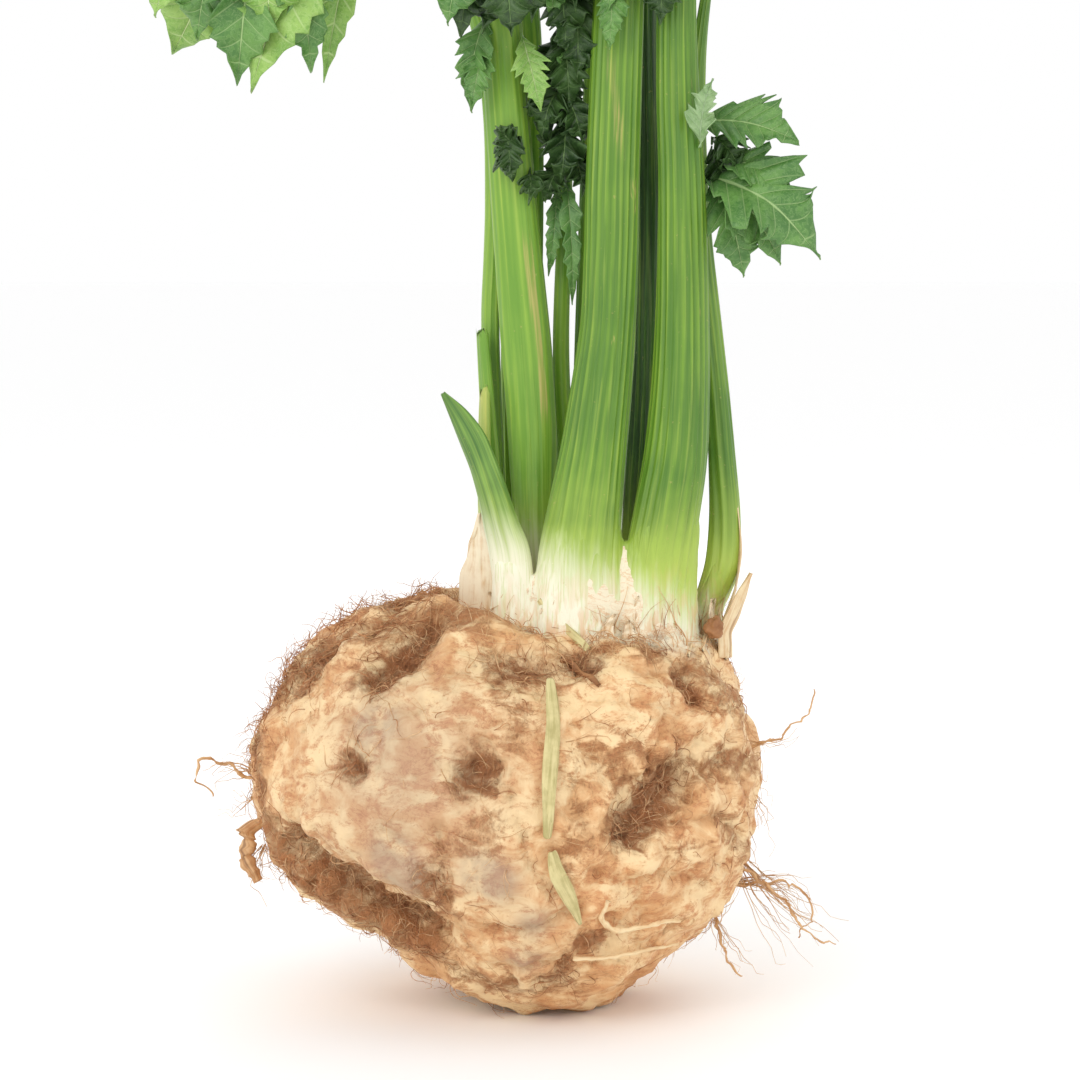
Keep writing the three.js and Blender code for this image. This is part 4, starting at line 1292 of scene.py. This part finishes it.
thickness = {"rootlet_left_stub": 1.25, "rootlet_left_curl": 0.8, "rootlet_back": 0.9}
rootlet_nodes = sorted(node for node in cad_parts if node.startswith("rootlet_"))
for seed, node in enumerate(rootlet_nodes):
    on_root = node.startswith("rootlet_front")
    rings = rings_of(node, ROOTLET_SIDES)
    rootlet = roll_up(node + "_thread", rings if on_root else joined(rings), 10, 90,
                      wandering(seed, *((0.25, 0.9) if on_root else (0.9, thickness.get(node, 0.6)))))
    hand_in(rootlet, pale_rootlet if on_root else rootlet_bark, "rootlet", node)

# %% [markdown]
# ### Hairs
#
# Hundreds of hair-like rootlets mat the hollows and stand off the root's edge. They are too thin and too many
# for the frame. Each is a thread with three sides that starts on the skin and wanders: at every step it turns
# a little, and is held at its own height over the skin. All the hairs of one kind make one mesh. A tube this
# plain is quicker to write down point by point than to bend from a primitive, so that is how it is made.

# %% Grow hairs
HAIR_STEPS = 9
HAIR_SIDES = 3
HAIR_TIP = 0.35  # the thickness of its tip, as a share of that of its foot
CURL = 0.55
CLEARANCE = 0.15  # the lowest height of a hair's middle line over the skin
LOWEST = 0.3  # and over the ground


def grow(starts, lengths, heights, rng, first_way=None, curl=CURL):
    """The middle lines of hairs that creep over the skin. Heights over it are given at their far ends."""
    lines = []
    for k, start in enumerate(starts):
        place = np.array(start, float)
        way = rng.normal(size=3) if first_way is None else first_way + 0.35 * rng.normal(size=3)
        way /= np.linalg.norm(way)
        turn = rng.normal(size=3) * curl
        line = [place]
        for step in range(1, HAIR_STEPS):
            turn = 0.6 * turn + rng.normal(size=3) * curl
            way = way + 0.5 * turn
            place = place + way / np.linalg.norm(way) * lengths[k] / HAIR_STEPS
            hit, normal = root_skin.find_nearest(Vector(place) * MM)[:2]
            hit, normal = np.array(hit) / MM, np.array(normal)
            over = (place - hit) @ normal
            wanted = heights[k] * step / HAIR_STEPS + CLEARANCE
            place = place + normal * (wanted - over) * (0.75 if over < wanted else 0.35)
            place[2] = max(place[2], LOWEST)
            way = place - line[-1]
            way /= np.linalg.norm(way)
            line.append(place)
        lines.append(np.array(line))
    return lines


def hairs(name, lines, radii, bark):
    """One mesh of tapering threads."""
    corners, faces = [], []
    for line, radius in zip(lines, radii):
        line = spline(line, 2 * len(line) - 1)
        first = len(corners)
        run = np.gradient(line, axis=0)
        across = straight(np.cross(run, (0.3, 0.2, 1.0)))
        other = straight(np.cross(run, across))
        taper = radius * np.linspace(1, HAIR_TIP, len(line))[:, None]
        n = len(line)
        for turn in range(HAIR_SIDES):
            angle = 2 * math.pi * turn / HAIR_SIDES
            corners.extend(line + taper * (math.cos(angle) * across + math.sin(angle) * other))
            a, b = first + turn * n, first + (turn + 1) % HAIR_SIDES * n
            faces.extend((a + k, b + k, b + k + 1, a + k + 1) for k in range(n - 1))
        feet_of = [first + turn * n for turn in range(HAIR_SIDES)]
        faces.append(tuple(reversed(feet_of)))
        faces.append(tuple(foot + n - 1 for foot in feet_of))
    mesh = bpy.data.meshes.new(name)
    mesh.from_pydata((np.array(corners) * MM).tolist(), [], faces)
    piece = bpy.data.objects.new(name, mesh)
    bpy.context.collection.objects.link(piece)
    hand_in(piece, bark, "rootlet")


def hair_finish(name, pale, dark):
    finish = Finish(name)
    patch = finish.noise(finish.place(), 3, 3, 0.6)
    return finish.done(Base_Color=finish.mix(patch.step(0.35, 0.65), dark, pale), Roughness=patch * 0.2 + 0.6)


pale_hair = hair_finish("hair_pale", paint("E2BB8C"), paint("C08F60"))
brown_hair = hair_finish("hair_brown", paint("CB9162"), paint("9C643C"))

# %% Hairs on the root
UPWARDS = np.array([0, 0, 1.0])
rng = np.random.default_rng(11)


def pick(weights, count):
    """Places on the root, picked more often where the weights are high."""
    return root_places[rng.choice(len(weights), size=count, p=weights / weights.sum())]


below_crown = off_crown(root_places, 98, 4) * soft_step(0.5, 3, root_places[:, 2])
matted = (np.maximum(brown, hollow) ** 3 + 0.002) * below_crown
edge = bell(root_places[:, 1] + 4, 12) * below_crown
edge_left = edge * soft_step(5, -25, root_places[:, 0]) * (0.12 + soft_step(58, 86, root_places[:, 2]))
crown_rim = soft_step(86, 91, root_places[:, 2]) * soft_step(99, 95, root_places[:, 2])
crown_rim *= soft_step(1.6, 1.3, from_crown)
GROWTHS = [  # name, weights, number, shortest, longest, height, radius, bark
    ("matted_hairs", matted, 1200, 4, 12, 0.8, 0.12, brown_hair),
    ("matted_pale_hairs", matted, 800, 5, 14, 1.0, 0.11, pale_hair),
    ("edge_hairs", edge_left, 420, 5, 15, 5.0, 0.11, brown_hair),
    ("loose_hairs", edge + 0.15 * below_crown, 240, 5, 14, 3.5, 0.09, pale_hair),
    ("lying_hairs", below_crown, 180, 8, 22, 0.1, 0.10, pale_hair),
    ("crown_fibres", crown_rim, 260, 6, 15, 1.2, 0.13, pale_hair),
    ("crown_brown_fibres", crown_rim, 130, 4, 10, 1.6, 0.10, brown_hair),
]
for name, weights, count, shortest, longest, height, radius, bark in GROWTHS:
    lengths = rng.uniform(shortest, longest, count)
    upright = (UPWARDS, 0.2) if name.startswith("crown") else ()
    lines = grow(pick(weights, count), lengths, rng.uniform(0.1, height, count), rng, *upright)
    hairs(name, lines, radius * rng.uniform(0.7, 1.4, count), bark)

# %% Tufts in the air, with their routes, numbers of hairs and spreads in mm
TUFTS = [
    ([(49, -5, 36), (55, -7, 28), (62, -8, 22), (70, -8, 17)], 26, 4.5),
    ([(48, -4, 30), (56, -5, 30), (63, -5, 27), (67, -5, 18)], 20, 4.0),
    ([(50, -6, 66), (58, -8, 67), (64, -9, 73)], 6, 3.0),
    ([(51, 0, 54), (55, -2, 48), (54, -2, 42)], 8, 2.5),
    ([(-73, -3, 58), (-79, -5, 60), (-86, -6, 57)], 9, 3.0),
    ([(-73, -4, 52), (-78, -5, 48), (-82, -5, 50)], 6, 2.5),
    ([(-70, -8, 40), (-72, -10, 34), (-66, -12, 28)], 12, 2.5),
    ([(42, -10, 22), (46, -13, 15), (50, -13, 9)], 8, 2.5),
    ([(-30, 44, 30), (-38, 52, 22), (-46, 56, 14)], 16, 4.0),
    ([(20, 46, 40), (26, 54, 34), (34, 57, 28)], 12, 4.0),
    ([(-60, 26, 60), (-68, 32, 62), (-74, 34, 56)], 10, 3.0),
]
TUFT_STEPS = 24
TUFT_LOWEST = 0.4
tuft_lines = []
for route, count, spread in TUFTS:
    for k in range(count):
        drift = np.linspace(0.15, 1, len(route))[:, None]
        share = rng.uniform(0.45, 1)
        line = spline(np.array(route) + drift * rng.normal(size=3) * spread, TUFT_STEPS)
        line = line[:int(TUFT_STEPS * share)]
        line = spline(line[::max(1, len(line) // HAIR_STEPS)], HAIR_STEPS)
        line = line + rng.normal(size=line.shape) * np.linspace(0, 0.7, len(line))[:, None]
        line[:, 2] = np.maximum(line[:, 2], TUFT_LOWEST)
        tuft_lines.append(line)
hairs("tuft_hairs", tuft_lines, rng.uniform(0.09, 0.17, len(tuft_lines)), pale_hair)
